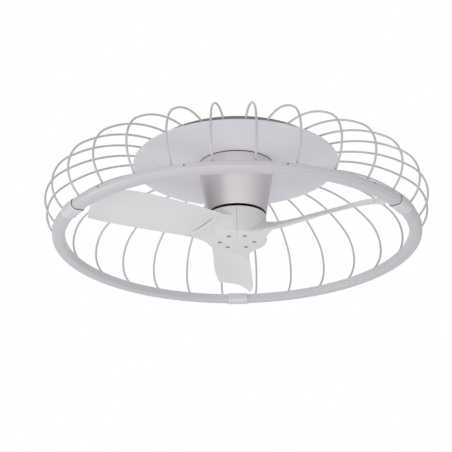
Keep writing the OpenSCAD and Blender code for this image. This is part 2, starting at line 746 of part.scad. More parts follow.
module rotor_bell() color(cast_alu) difference() {
    union() {
        translate([0, 0, bell_z]) cylinder(r = bell_r, h = bell_plate_t);
        translate([0, 0, bell_z]) tube(bell_r, bell_r - bell_wall_t, cover_z - bell_z);
        translate([0, 0, bell_z]) cylinder(r = bearing_seat_r, h = bell_plate_t + bearing_w + 0.5);
        // seat for the back iron, ribs under it, and ears for the cover's screws
        translate([0, 0, bell_z]) tube(bell_r - eps, magnet_out_r, magnet_z - bell_z);
        around(4, 15) translate([ear_circle_r, 0, cover_z - ear_h]) cylinder(r = ear_r, h = ear_h);
        around(12, 15) translate([bearing_seat_r - 1, -motor_rib_t / 2, bell_z + 1])
            cube([magnet_out_r - bearing_seat_r + 2, motor_rib_t, bell_plate_t + 1]);
    }
    translate([0, 0, lower_bearing_z]) cylinder(r = bearing_r + eps, h = bearing_w + 1);
    translate([0, 0, bell_z - 1]) cylinder(r = bore_clear_r, h = bell_plate_t + 2);
    for (b = blade_at) for (s = [-1, 1]) at_angle(b + s * screw_angle)
        translate([screw_circle_r, 0, bell_z - 1])
            cylinder(r = blade_screw_r + run_gap, h = bell_plate_t + 4);
    around(4, 15) translate([ear_circle_r, 0, cover_z - cover_screw_l - 4])
        cylinder(r = cover_screw_r + run_gap, h = cover_screw_l + 6);
}

module rotor_cover() color(cast_alu) difference() {
    union() {
        translate([0, 0, cover_z]) cylinder(r = bell_r, h = bell_cover_t);
        translate([0, 0, upper_bearing_z - 0.5]) cylinder(r = bearing_seat_r, h = bearing_w + 1);
        around(4, 15) translate([ear_circle_r, 0, cover_z]) cylinder(r = ear_r, h = bell_cover_t);
        around(12, 30) translate([bearing_seat_r - 1, -motor_rib_t / 2, cover_z - 2])
            cube([cover_rib_l, motor_rib_t, 3]);
    }
    translate([0, 0, upper_bearing_z - 1]) cylinder(r = bearing_r + eps, h = bearing_w + 1);
    translate([0, 0, cover_z - 1]) cylinder(r = bore_clear_r, h = bell_cover_t + 2);
    around(4, 15) translate([ear_circle_r, 0, cover_z - 1])
        cylinder(r = cover_screw_r + bolt_gap, h = bell_cover_t + 2);
    // vents
    around(12, 15) translate([vent_at, 0, cover_z - 1]) cylinder(r = vent_r, h = bell_cover_t + 2);
}

module cover_screws() color(steel) around(4, 15) translate([ear_circle_r, 0, cover_z + bell_cover_t])
    mirror([0, 0, 1])
        pan_screw(cover_screw_r, bell_cover_t + cover_screw_l, ear_r - 0.2, cover_screw_head_h);

module back_iron() color(dark_steel) translate([0, 0, magnet_z])
    tube(bell_r - bell_wall_t, magnet_out_r, magnet_h);

module rotor_magnets() color(steel) for (i = [0:poles - 1]) rotate([0, 0, i * 360 / poles])
    translate([0, 0, magnet_z]) rotate_extrude(angle = 360 / poles - 2.5)
        translate([magnet_out_r - magnet_t, 0]) square([magnet_t, magnet_h]);

// ---------- blades ----------

// the blade itself: a twisted, cambered loft from the hub's wall to the tip
module blade_loft() {
    n = 2 * chord_steps;
    pts = [for (j = [0:span_steps]) for (p = blade_ring(j / span_steps)) p];
    last = span_steps * n;
    sides = [for (j = [0:span_steps - 1]) for (i = [0:n - 1]) let(
        a = j * n + i, b = j * n + (i + 1) % n) each [[a, b + n, a + n], [a, b, b + n]]];
    caps = [for (i = [0:chord_steps - 1]) let(u0 = i, u1 = i + 1,
        l0 = (n - i) % n, l1 = n - i - 1) each concat(
            i == 0 ? [[u0, l1, u1]] : i == chord_steps - 1 ? [[u0, l0, u1]] : [[u0, l1, u1], [u0, l0, l1]],
            i == 0 ? [[last + u0, last + u1, last + l1]]
                : i == chord_steps - 1 ? [[last + u0, last + u1, last + l0]]
                : [[last + u0, last + u1, last + l1], [last + u0, last + l1, last + l0]])];
    polyhedron(pts, concat(sides, caps), convexity = 6);
}

// height of the blade's middle surface over a point of the plan
function blade_height(s, t) = let(
    lead = section_value(s, 1), trail = section_value(s, 2),
    k = min(0.98, max(0.02, (t - trail) / (lead - trail))))
    blade_mid(s, k)[2];

// the web's near and far sides in plan, from the hub's wall at u = 0 to its tip
function web_near(u) = let(
    s = root_r * cos(asin(web_start_t / root_r)),
    end_t = section_value(web_tip_s, 2) + web_tip_w)
    [s + (web_tip_s - s) * u, end_t + (web_start_t - end_t) * pow(1 - u, 2.2)];
function web_far(u) = let(
    t0 = section_value(web_far_s, 2) + web_inset,
    s0 = root_r * cos(asin(t0 / root_r)),
    s = s0 + (web_tip_s - s0) * u)
    [s, section_value(s, 2) + web_inset];
// a point of the plan, kept out of the motor's room
function web_plan(u, i) = let(
    a = web_near(u), b = web_far(u), p = a + (b - a) * i / (web_across - 1))
    p * max(1, web_root_r / norm(p));
function web_section(u) = let(z = hub_z + web_lift + web_rise * u * u) concat(
    [for (i = [0:web_across - 1]) let(p = web_plan(u, i)) [p[0], p[1], z]],
    [for (i = [web_across - 1:-1:0]) let(p = web_plan(u, i))
        [p[0], p[1], max(z + 0.5, blade_height(p[0], p[1]) - web_sink)]]);

module root_web() {
    m = 2 * web_across;
    end = web_steps * m;
    pts = [for (j = [0:web_steps]) for (p = web_section(j / web_steps)) p];
    sides = [for (j = [0:web_steps - 1]) for (i = [0:m - 1]) let(
        a = j * m + i, b = j * m + (i + 1) % m) each [[a, b, b + m], [a, b + m, a + m]]];
    caps = [for (i = [0:web_across - 2]) let(c = m - 1 - i) each [
        [i, c, c - 1], [i, c - 1, i + 1],
        [end + i, end + c - 1, end + c], [end + i, end + i + 1, end + c - 1]]];
    polyhedron(pts, concat(sides, caps), convexity = 6);
}

// a third of the hub's shell: wall, floor, screw bosses and ribs
module hub_sector() {
    sweep = 360 / blades - sector_gap;
    difference() {
        union() {
            translate([0, 0, hub_z]) rotate([0, 0, -sweep / 2]) rotate_extrude(angle = sweep) difference() {
                square([hub_r, hub_h]);
                translate([-1, floor_t]) square([hub_r - shell_wall + 1, hub_h]);
                corner_cut(hub_r, 0, hub_low_round, 1, 0);
                corner_cut(hub_r, hub_h, hub_top_round, 1, 1);
            }
            for (s = [-1, 1]) rotate([0, 0, s * screw_angle]) translate([screw_circle_r, 0, hub_z]) {
                cylinder(r = screw_recess_r + boss_wall, h = boss_h);
                translate([0, -1, 1]) cube([hub_r - shell_wall / 2 - screw_circle_r, 2, boss_h - 3]);
            }
        }
        for (s = [-1, 1]) rotate([0, 0, s * screw_angle]) translate([screw_circle_r, 0, hub_z - 1]) {
            cylinder(r = screw_recess_r, h = screw_seat_h + 1);
            cylinder(r = blade_screw_r + bolt_gap, h = boss_h + 2);
        }
    }
}

module blade(angle) color(hub_white) at_angle(angle) {
    hub_sector();
    blade_loft();
    root_web();
}

module blade_screws() color(dark_steel) for (b = blade_at) for (s = [-1, 1])
    at_angle(b + s * screw_angle) translate([screw_circle_r, 0, hub_z + screw_seat_h])
        pan_screw(blade_screw_r, boss_h - screw_seat_h + bell_plate_t,
            blade_screw_head_r, blade_screw_head_h);

// ---------- light ring ----------

module ring_channel(mid) color(off_white) difference() {
    ring_sweep(mid, pitch_angle - seam_angle) {
        difference() {
            ring_profile();
            translate([-ring_w, -1]) square([2 * ring_w, cover_h + 1]);
            ring_hollow(channel_wall, ring_h - top_wall);
        }
        // spine that the wires and the light strip sit on
        translate([-spine_w / 2, ring_h - top_wall - spine_h]) square([spine_w, spine_h + 0.5]);
        // ledges over the cover's legs
        for (s = [-1, 1])
            side_strip(s, leg_x(s) - leg_t, (ring_w - channel_wall) / 2, cover_h + leg_h, ledge_t);
    }
    each_wire(mid) foot_rod(wire_r + slide_gap, foot_depth, foot_hole_h);
    for (a = ring_screw_at) at_angle(mid + a)
        translate([ring_r + ring_w / 2 - ring_screw_l - 1, 0, ring_z + ring_screw_h])
            rotate([0, 90, 0]) cylinder(r = ring_screw_r + run_gap, h = ring_screw_l + 3);
}

module led_strip(mid) {
    strip_z = ring_h - top_wall - spine_h - strip_t;
    color(board) ring_sweep(mid, pitch_angle - clip_angle)
        translate([-strip_w / 2, strip_z]) square([strip_w, strip_t]);
    color(chip) for (i = [0:led_count - 1])
        at_angle(mid + (i + 0.5 - led_count / 2) * (pitch_angle - clip_angle) / led_count)
            translate([ring_r - led_size / 2, -led_size / 2, ring_z + strip_z - led_h])
                cube([led_size, led_size, led_h + 0.1]);
}

module ring_diffuser(mid) color(opal) ring_sweep(mid, pitch_angle - seam_angle) {
    difference() {
        ring_profile();
        translate([-ring_w, cover_h]) square([2 * ring_w, ring_h]);
        ring_hollow(diffuser_wall, ring_h);
    }
    // legs that snap inside the channel, under its ledges
    for (s = [-1, 1]) side_strip(s, leg_x(s) - leg_t, leg_x(s), cover_h - leg_sink, leg_h + leg_sink);
}

// sleeve over a joint of the ring: tight in the middle, wider at both mouths
module ring_clip(at) color(off_white) difference() {
    ring_sweep(at, clip_angle) difference() {
        ring_profile(clip_mouth_gap + clip_wall);
        ring_profile(slide_gap);
    }
    for (s = [-1, 1]) ring_sweep(at + s * clip_angle / 2, 2 * mouth_angle) ring_profile(clip_mouth_gap);
}

module ring_screws() color(dark_steel) for (mid = segment_mid) for (a = ring_screw_at)
    at_angle(mid + a) translate([ring_r + ring_w / 2, 0, ring_z + ring_screw_h]) rotate([0, -90, 0])
        pan_screw(ring_screw_r, ring_screw_l, ring_screw_head_r, ring_screw_head_h);

module cage_wires(mid) color(off_white) each_wire(mid) one_wire();

// ---------- the assembly ----------

ceiling_bracket();
bracket_bolts();
chassis_pan();
canopy_disc();
disc_studs();
hanger_flange();
flange_bolts();
terminal_block();
receiver_box();
led_driver();
cone_housing();
cone_gasket();
cone_screws();
motor_shaft();
cross_bolt();
shaft_nut();
stator_carrier();
stator_core();
stator_windings();
bearing_inner(lower_bearing_z);  // lower_bearing_inner
bearing_outer(lower_bearing_z);  // lower_bearing_outer
bearing_inner(upper_bearing_z);  // upper_bearing_inner
bearing_outer(upper_bearing_z);  // upper_bearing_outer
rotor_bell();
rotor_cover();
cover_screws();
back_iron();
rotor_magnets();
blade(blade_at[0]);  // blade_a
blade(blade_at[1]);  // blade_b
blade(blade_at[2]);  // blade_c
blade_screws();
ring_channel(segment_mid[0]);  // ring_channel_a
ring_channel(segment_mid[1]);  // ring_channel_b
ring_channel(segment_mid[2]);  // ring_channel_c
led_strip(segment_mid[0]);  // led_strip_a
led_strip(segment_mid[1]);  // led_strip_b
led_strip(segment_mid[2]);  // led_strip_c
ring_diffuser(segment_mid[0]);  // ring_diffuser_a
ring_diffuser(segment_mid[1]);  // ring_diffuser_b
ring_diffuser(segment_mid[2]);  // ring_diffuser_c
ring_clip(clip_at[0]);  // ring_clip_a
ring_clip(clip_at[1]);  // ring_clip_b
ring_clip(clip_at[2]);  // ring_clip_c
ring_screws();
cage_wires(segment_mid[0]);  // cage_wires_a
cage_wires(segment_mid[1]);  // cage_wires_b
cage_wires(segment_mid[2]);  // cage_wires_c
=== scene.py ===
import bmesh
import bpy
import math
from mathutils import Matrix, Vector


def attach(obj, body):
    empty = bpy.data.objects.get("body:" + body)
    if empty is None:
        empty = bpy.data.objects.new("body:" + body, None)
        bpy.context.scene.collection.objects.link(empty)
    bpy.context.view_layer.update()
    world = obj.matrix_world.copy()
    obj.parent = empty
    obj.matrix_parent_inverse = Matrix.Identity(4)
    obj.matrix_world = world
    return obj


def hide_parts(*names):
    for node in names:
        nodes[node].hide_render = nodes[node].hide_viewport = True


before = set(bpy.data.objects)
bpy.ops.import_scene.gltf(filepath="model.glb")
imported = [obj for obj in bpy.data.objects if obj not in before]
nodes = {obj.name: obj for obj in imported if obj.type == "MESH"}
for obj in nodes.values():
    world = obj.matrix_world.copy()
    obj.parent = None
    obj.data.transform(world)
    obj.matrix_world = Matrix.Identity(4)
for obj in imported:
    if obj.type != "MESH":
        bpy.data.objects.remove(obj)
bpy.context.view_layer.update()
scene = bpy.context.scene
print("frame loaded with", len(nodes), "nodes")

# Sizes are in millimetres and the scene is in metres. Angles start at the near side (-Y) and grow
# towards +X. Heights of the ring, the hub and the blades start at ringUnderside.
mm = 0.001
ringUnderside = -261.0
letters = "ABC"
segmentAngles = (0, 120, 240)
jointAngles = (60, 180, 300)


# ---- small helpers ----

def polar(radius, height, angle):
    turn = math.radians(angle)
    return Vector((radius * math.sin(turn), -radius * math.cos(turn), height)) * mm


def linearColour(code):
    channels = [int(code[i:i + 2], 16) / 255 for i in (1, 3, 5)]
    return [c / 12.92 if c <= 0.04045 else ((c + 0.055) / 1.055) ** 2.4 for c in channels] + [1.0]


def addNode(tree, kind, settings=None, links=None):
    node = tree.nodes.new(kind)
    for key, value in (settings or {}).items():
        if isinstance(key, str) and hasattr(node, key):
            setattr(node, key, value)
        else:
            node.inputs[key].default_value = value
    for key, source in (links or {}).items():
        tree.links.new(source, node.inputs[key])
    return node


def smoothMesh(mesh, sharpAngle):
    mesh.shade_smooth()
    mesh.set_sharp_from_angle(angle=math.radians(sharpAngle))


# joins points that coincide, turns the normals outwards and writes the mesh
def fillMesh(mesh, build, sharpAngle):
    bmesh.ops.remove_doubles(build, verts=build.verts, dist=1e-7)
    bmesh.ops.recalc_face_normals(build, faces=build.faces)
    build.to_mesh(mesh)
    build.free()
    smoothMesh(mesh, sharpAngle)


def finishMesh(name, build, sharpAngle=32):
    mesh = bpy.data.meshes.new(name)
    fillMesh(mesh, build, sharpAngle)
    piece = bpy.data.objects.new(name, mesh)
    scene.collection.objects.link(piece)
    return piece


# a closed body through rings of points that all have the same count
def loftBody(name, rings, closed=False, sharpAngle=32):
    build = bmesh.new()
    rows = [[build.verts.new(p) for p in ring] for ring in rings]
    count = len(rows[0])
    for j in range(len(rows) if closed else len(rows) - 1):
        a, b = rows[j], rows[(j + 1) % len(rows)]
        for i in range(count):
            build.faces.new((a[i], a[(i + 1) % count], b[(i + 1) % count], b[i]))
    if not closed:
        build.faces.new(rows[0])
        build.faces.new(rows[-1])
    return finishMesh(name, build, sharpAngle)


# a profile of (radius, height) swept round the fan's axis
def sweptBody(name, outline, first=0, last=360, step=1.0, sharpAngle=32):
    turns = max(2, round((last - first) / step))
    closed = abs(last - first - 360) < 1e-6
    angles = [first + (last - first) * j / turns for j in range(turns if closed else turns + 1)]
    return loftBody(name, [[polar(r, z, a) for r, z in outline] for a in angles], closed, sharpAngle)


# corners are (x, y, round radius), and each round gets the given number of steps
def roundedOutline(corners, steps=5):
    points = []
    for i, (x, y, radius) in enumerate(corners):
        here = Vector((x, y))
        if radius <= 0:
            points.append((x, y))
            continue
        before = (Vector(corners[i - 1][:2]) - here).normalized()
        after = (Vector(corners[(i + 1) % len(corners)][:2]) - here).normalized()
        half = before.angle(after) / 2
        centre = here + (before + after).normalized() * radius / math.sin(half)
        start = here + before * radius / math.tan(half) - centre
        end = here + after * radius / math.tan(half) - centre
        turn = start.angle_signed(end)
        arm = start.normalized() * radius
        for k in range(steps + 1):
            angle = -turn * k / steps
            c, s = math.cos(angle), math.sin(angle)
            p = centre + Vector((arm.x * c - arm.y * s, arm.x * s + arm.y * c))
            points.append((p.x, p.y))
    return points


def bakeModifiers(piece):
    depsgraph = bpy.context.evaluated_depsgraph_get()
    mesh = bpy.data.meshes.new_from_object(piece.evaluated_get(depsgraph), depsgraph=depsgraph)
    mesh.name = piece.name
    piece.modifiers.clear()
    piece.data = mesh


def combine(piece, others, operation):
    for other in others:
        step = piece.modifiers.new(operation, "BOOLEAN")
        step.operation = operation
        step.solver = "EXACT"
        step.object = other
        bakeModifiers(piece)
        bpy.data.objects.remove(other)


def place(piece, body, material, slotName, *replaced):
    piece.data.materials.clear()
    piece.data.materials.append(material)
    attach(piece, body)
    if replaced:
        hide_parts(*replaced)


# ---- materials ----

roughSpread = 0.05
edgeRange = (0.52, 0.60)


# A surface with two close colours, a fine relief and a roughness that wanders a little. grain, relief,
# patch and softEdge are sizes in millimetres on the real surface, sheenLines the lines to a metre along
# each axis. The edge colour is laid on convex edges: darker where the coat runs thinner, lighter as a
# painted highlight.
def makeSurface(name, colour, second, rough, grain, relief, patch=90, metallic=0.0, ior=1.5,
                sheenLines=None, thinCoatAndHighlightEdge=None, softEdge=0.0):
    material = bpy.data.materials.new(name)
    material.use_nodes = True
    tree = material.node_tree
    tree.nodes.clear()
    place3d = addNode(tree, "ShaderNodeTexCoord").outputs["Object"]
    cloud = addNode(tree, "ShaderNodeTexNoise", {"Scale": 1000 / patch, "Detail": 3.0},
                    {"Vector": place3d}).outputs["Fac"]
    spots = addNode(tree, "ShaderNodeTexNoise", {"Scale": 1000 / grain, "Detail": 2.0, "Roughness": 0.6},
                    {"Vector": place3d}).outputs["Fac"]
    # inputs 6 and 7 and output 2 of a mix node are its colours
    base = addNode(tree, "ShaderNodeMix",
                   {"data_type": "RGBA", 6: linearColour(colour), 7: linearColour(second)},
                   {"Factor": cloud}).outputs[2]
    # convex edges take the edge colour: a thinner coat where it is darker, a painted highlight where it is
    # lighter
    if thinCoatAndHighlightEdge:
        edge = addNode(tree, "ShaderNodeNewGeometry").outputs["Pointiness"]
        edgeShare = addNode(tree, "ShaderNodeMapRange", {"From Min": edgeRange[0], "From Max": edgeRange[1]},
                       {"Value": edge}).outputs["Result"]
        base = addNode(tree, "ShaderNodeMix", {"data_type": "RGBA", 7: linearColour(thinCoatAndHighlightEdge)},
                       {"Factor": edgeShare, 6: base}).outputs[2]
    rougher = addNode(tree, "ShaderNodeMapRange",
                      {"To Min": rough - roughSpread, "To Max": rough + roughSpread}, {"Value": cloud})
    height = spots
    if sheenLines:
        spread = addNode(tree, "ShaderNodeMapping", {"Scale": sheenLines}, {"Vector": place3d})
        lines = addNode(tree, "ShaderNodeTexNoise", {"Scale": 1.0, "Detail": 2.0},
                        {"Vector": spread.outputs["Vector"]})
        height = addNode(tree, "ShaderNodeMath", {"operation": "ADD"},
                         {0: spots, 1: lines.outputs["Fac"]}).outputs["Value"]
    bump = addNode(tree, "ShaderNodeBump", {"Strength": 1.0, "Distance": relief * mm}, {"Height": height})
    if softEdge:
        softened = addNode(tree, "ShaderNodeBevel", {"samples": 8, "Radius": softEdge * mm})
        tree.links.new(softened.outputs["Normal"], bump.inputs["Normal"])
    shader = addNode(tree, "ShaderNodeBsdfPrincipled",
                     {"Metallic": metallic, "IOR": ior},
                     {"Base Color": base, "Roughness": rougher.outputs["Result"],
                      "Normal": bump.outputs["Normal"]})
    addNode(tree, "ShaderNodeOutputMaterial", None, {"Surface": shader.outputs["BSDF"]})
    return material


# powder coat on steel: a satin off-white with a soft orange peel, drawn at 5 mm so that it shows
powderCoatedSteel = makeSurface("powderCoatedSteel", "#e4e3e8", "#dfdee4", 0.42, 5, 0.03,
                                thinCoatAndHighlightEdge="#dedde2")
# powder coat on thin round rod: a touch greyer, and without the lavender
powderCoatedWire = makeSurface("powderCoatedWire", "#cbc9c8", "#c5c3c2", 0.34, 4, 0.02)
# powder coat on extruded aluminium: smoother, slightly warm, its edges lighter as a painted highlight
powderCoatedAluminium = makeSurface("powderCoatedAluminium", "#d2cdd1", "#cdc9cd", 0.38, 6, 0.02,
                                    thinCoatAndHighlightEdge="#dddbdf")
# powder coat on bent sheet: the clips, coated apart from the ring and so a little paler; their edges lighter
# as a painted highlight
powderCoatedClip = makeSurface("powderCoatedClip", "#d7d5d9", "#d2d1d4", 0.36, 5, 0.02,
                               thinCoatAndHighlightEdge="#e4e4e8")
# opal acrylic, extruded: pale, smooth and soft in its shading
opalAcrylicExtruded = makeSurface("opalAcrylicExtruded", "#c9c8cd", "#c6c4c9", 0.30, 8, 0.008, ior=1.49)
# injection moulded ABS with a fine spark-eroded grain: neutral white, satin
mouldedAbs = makeSurface("mouldedAbs", "#e0dfdf", "#dcdcde", 0.38, 3.2, 0.015, patch=140, ior=1.54,
                         softEdge=1.5)
# spun aluminium under pearl lacquer: faint rings round the axis and a warm silver sheen
pearlLacquerAluminium = makeSurface("pearlLacquerAluminium", "#dcd6d9", "#d8d3d6", 0.36, 6, 0.01,
                                    metallic=0.7, sheenLines=(2, 2, 420))
# the pan in a dark grey coat, its edges lighter as a painted highlight
darkCoatedSteel = makeSurface("darkCoatedSteel", "#6d686a", "#65605f", 0.45, 5, 0.03, thinCoatAndHighlightEdge="#8a8587")
# zinc plated strip and fasteners: grey, with a cloudy passivated tone
zincPlatedSteel = makeSurface("zincPlatedSteel", "#b3b6ba", "#a5a8ad", 0.34, 7, 0.02, patch=25, metallic=1.0)
# black and matt: painted shade laid in the shadow gaps at the clips' mouths and round the cone's neck
shadeBlack = makeSurface("shadeBlack", "#1c1c1e", "#161618", 0.85, 1.2, 0.05, patch=6)
# black oxide on steel screws: dull and nearly black in their recesses
blackOxideSteel = makeSurface("blackOxideSteel", "#1c1c1e", "#161618", 0.6, 2, 0.02, patch=8, metallic=0.3)
# die-cast aluminium, sandy from its mould
dieCastAluminium = makeSurface("dieCastAluminium", "#a8aaad", "#9c9ea2", 0.5, 1.6, 0.05, patch=30,
                               metallic=1.0)
# ground and hardened steel, with fine rings left by grinding
groundSteel = makeSurface("groundSteel", "#9a9ca0", "#909297", 0.24, 3, 0.006, patch=20, metallic=1.0,
                          sheenLines=(3, 3, 900))
# varnished stack of stamped sheets, whose edges show as lines
stampedLaminations = makeSurface("stampedLaminations", "#5b5f68", "#4d5159", 0.45, 2, 0.02, patch=12,
                                 metallic=0.6, sheenLines=(4, 4, 1400))
# enamelled copper wire, wound close
enamelledCopper = makeSurface("enamelledCopper", "#b5703f", "#9d5c31", 0.28, 1.2, 0.08, patch=6,
                              metallic=1.0, sheenLines=(600, 600, 20))
# sintered ferrite, matt and nearly black
sinteredFerrite = makeSurface("sinteredFerrite", "#3c3c40", "#323236", 0.7, 1.5, 0.03, patch=10)
# white solder mask on the light boards
solderMaskWhite = makeSurface("solderMaskWhite", "#e4e4e0", "#dddcd6", 0.4, 2, 0.01, patch=15)
# flame-retardant ABS cases, white and black
caseWhite = makeSurface("caseWhite", "#e2e2de", "#dbdbd6", 0.5, 1.6, 0.03, patch=30)
caseBlack = makeSurface("caseBlack", "#2b2b2d", "#232325", 0.5, 1.6, 0.03, patch=30)
print("materials made:", len(bpy.data.materials))


# ---- light ring ----

ringSizes = {"middle": 463.5, "width": 33, "height": 21, "outerRound": 11, "innerRound": 7,
             "topRound": 2.5, "coverTop": 5, "wall": 1.8, "topWall": 2, "coverWall": 2, "seam": 0.3,
             "spineHalf": 8, "spine": 3, "legHeight": 5, "legWall": 1.6, "legOut": 12.34, "legIn": 14.19,
             "ledge": 1.4, "joint": 2, "roundSteps": 8, "turnStep": 0.75}


# the ring's section grown by g, from its upper outer corner down and round to its upper inner corner
def ringSection(g=0, top=0):
    s = ringSizes
    half, low, high = s["width"] / 2 + g, ringUnderside - g, ringUnderside + s["height"] + g - top
    topRound = 0 if top else s["topRound"] + g
    return [(s["middle"] + half, high, topRound), (s["middle"] + half, low, s["outerRound"] + g),
            (s["middle"] - half, low, s["innerRound"] + g), (s["middle"] - half, high, topRound)]


# the ring's rounded section grown by g
def ringOutline(g=0, top=0):
    return roundedOutline(ringSection(g, top), ringSizes["roundSteps"])


# the run of an outline above or below a height, from one cut to the other
def cutOutline(points, height, keepAbove):
    kept = []
    for i, p in enumerate(points):
        q = points[(i + 1) % len(points)]
        if (p[1] >= height) == keepAbove:
            kept.append(p)
        if (p[1] - height) * (q[1] - height) < 0:
            t = (height - p[1]) / (q[1] - p[1])
            kept.append((p[0] + (q[0] - p[0]) * t, height))
    cuts = [i for i, p in enumerate(kept) if p[1] == height]
    start = next(i for i in cuts if kept[i - 1][1] == height)
    return kept[start:] + kept[:start]


# channel section: outside over the top, then the inside with its ledges and spine
def channelOutline():
    s = ringSizes
    cut = ringUnderside + s["coverTop"] + s["seam"]
    outside = cutOutline(ringOutline(), cut, True)
    hollow = cutOutline(ringOutline(-s["wall"], s["topWall"] - s["wall"]), cut, True)
    if (outside[0][0] - s["middle"]) * (hollow[0][0] - s["middle"]) > 0:
        hollow.reverse()
    ledgeLow = ringUnderside + s["coverTop"] + s["legHeight"]
    ledgeTop = ledgeLow + s["ledge"]
    ceiling = ringUnderside + s["height"] - s["topWall"]
    inside = []
    for side, leg in ((1, s["legOut"]), (-1, s["legIn"])):
        wall = [p for p in hollow if (p[0] - s["middle"]) * side > 0]
        wall.sort(key=lambda p: p[1])
        near = s["middle"] + side * (leg - s["legWall"])
        face = s["middle"] + side * (s["width"] / 2 - s["wall"])
        run = [p for p in wall if p[1] < ledgeLow] + [(face, ledgeLow), (near, ledgeLow), (near, ledgeTop),
                                                      (face, ledgeTop), (face, ceiling)]
        run += [(s["middle"] + side * s["spineHalf"], ceiling),
                (s["middle"] + side * s["spineHalf"], ceiling - s["spine"])]
        inside.append(run)
    loop = inside[0] + inside[1][::-1]
    if (outside[-1][0] - s["middle"]) * (loop[0][0] - s["middle"]) < 0:
        loop.reverse()
    return outside + loop


# cover section: outside round the bottom, then the inside between its two legs
def coverOutline():
    s = ringSizes
    cut = ringUnderside + s["coverTop"]
    outside = cutOutline(ringOutline(), cut, False)
    hollow = cutOutline(ringOutline(-s["coverWall"]), cut, False)
    if outside[0][0] < s["middle"]:
        outside.reverse()
    legTop = cut + s["legHeight"]
    near, far = s["middle"] - s["legIn"], s["middle"] + s["legOut"]
    nearWall, farWall = near + s["legWall"], far - s["legWall"]
    floor = sorted(p for p in hollow if nearWall < p[0] < farWall)
    inside = [(near, cut), (near, legTop), (nearWall, legTop), (nearWall, floor[0][1])] + floor
    inside += [(farWall, floor[-1][1]), (farWall, legTop), (far, legTop), (far, cut)]
    return outside + inside


def buildRingSegment(letter, middleAngle):
    s = ringSizes
    half = 60 - math.degrees(s["joint"] / s["middle"]) / 2
    span = (middleAngle - half, middleAngle + half, s["turnStep"])
    channel = sweptBody("ringChannel" + letter, channelOutline(), *span)
    cover = sweptBody("ringCover" + letter, coverOutline(), *span)
    node = letter.lower()
    place(channel, "fixture", powderCoatedAluminium, "painted_aluminium", "ring_channel_" + node)
    place(cover, "fixture", opalAcrylicExtruded, "opal_plastic", "ring_diffuser_" + node)


for letter, middleAngle in zip(letters, segmentAngles):
    buildRingSegment(letter, middleAngle)
print("light ring made")

clipSizes = {"length": 57, "wall": 0.8, "mouthGap": 1.9, "mouth": 6, "gap": 0.1, "edge": 0.5,
             "shadeRingIn": 0.3, "shadeRingLength": 2, "shadeRingGap": 0.12, "steps": 12}


# a closed body through (angle, outline) rows along the ring
def sleeveBody(name, rows):
    return loftBody(name, [[polar(r, z, a) for r, z in outline] for a, outline in rows], closed=True)


# a sleeve that is tight in its middle and has a wider mouth, with a black ring in each end as painted shade
# for the shadow in the gap
def buildClip(letter, at):
    s = clipSizes

    def turned(length):
        return math.degrees(length / ringSizes["middle"])

    half = turned(s["length"]) / 2
    deep, slant = half - turned(s["mouth"]), half - turned(s["edge"])
    outer = ringOutline(s["mouthGap"] + s["wall"])
    edge = ringOutline(s["mouthGap"] + s["wall"] - s["edge"])
    mouth, inner = ringOutline(s["mouthGap"]), ringOutline(s["gap"])
    shares = [2 * j / s["steps"] for j in range(1, s["steps"])]
    rows = [(at - deep, inner), (at - deep, mouth), (at - half, mouth), (at - half, edge)]
    rows += [(at - slant, outer)] + [(at - slant + slant * share, outer) for share in shares]
    rows += [(at + slant, outer), (at + half, edge), (at + half, mouth), (at + deep, mouth)]
    rows += [(at + deep, inner)] + [(at + deep - deep * share, inner) for share in shares]
    piece = sleeveBody("ringClip" + letter, rows)
    place(piece, "fixture", powderCoatedClip, "painted_aluminium", "ring_clip_" + letter.lower())
    # the black rings in the mouths are painted shade for the shadow in each mouth's gap
    outside, inside = ringOutline(s["mouthGap"] - s["shadeRingGap"]), ringOutline(s["shadeRingGap"])
    for side, label in ((-1, "Near"), (1, "Far")):
        first = at + side * (half - turned(s["shadeRingIn"]))
        last = first - side * turned(s["shadeRingLength"])
        shadeRing = sleeveBody("clipShadeRing" + letter + label,
                          [(first, inside), (first, outside), (last, outside), (last, inside)])
        place(shadeRing, "fixture", shadeBlack, "black_foam")


for letter, at in zip(letters, jointAngles):
    buildClip(letter, at)
print("clips made")


# ---- cage ----

wireSizes = {"diameter": 5.38, "lean": 49, "foot": 24.5, "footDepth": 4, "shoulder": 91,
             "shoulderEnd": 143.8, "collarHeight": -25.3, "collarRadius": 224, "sides": 16,
             "shoulderSteps": 28, "spanSteps": 36, "count": 10, "first": -54.5, "between": 12}


# the wire's middle line as (radius, height): a straight foot, the shoulder and the long bend
def wirePath():
    s = wireSizes
    lean, end = math.radians(s["lean"]), math.radians(s["shoulderEnd"])
    footR, footZ = ringSizes["middle"], ringUnderside + ringSizes["height"]
    points = [(footR - s["footDepth"] * math.cos(lean), footZ - s["footDepth"] * math.sin(lean))]
    startR, startZ = footR + s["foot"] * math.cos(lean), footZ + s["foot"] * math.sin(lean)
    points.append((footR + 0.5 * (startR - footR), footZ + 0.5 * (startZ - footZ)))
    centreR = startR - s["shoulder"] * math.sin(lean)
    centreZ = startZ + s["shoulder"] * math.cos(lean)
    for k in range(s["shoulderSteps"] + 1):
        a = lean + (end - lean) * k / s["shoulderSteps"]
        points.append((centreR + s["shoulder"] * math.sin(a), centreZ - s["shoulder"] * math.cos(a)))
    lastR, lastZ = points[-1]
    span = (s["collarHeight"] - lastZ) / (1 + math.cos(end))
    middleR, middleZ = lastR - span * math.sin(end), lastZ + span * math.cos(end)
    final = math.pi - math.asin((s["collarRadius"] - middleR) / span)
    for k in range(1, s["spanSteps"] + 1):
        a = end + (final - end) * k / s["spanSteps"]
        points.append((middleR + span * math.sin(a), middleZ - span * math.cos(a)))
    return points


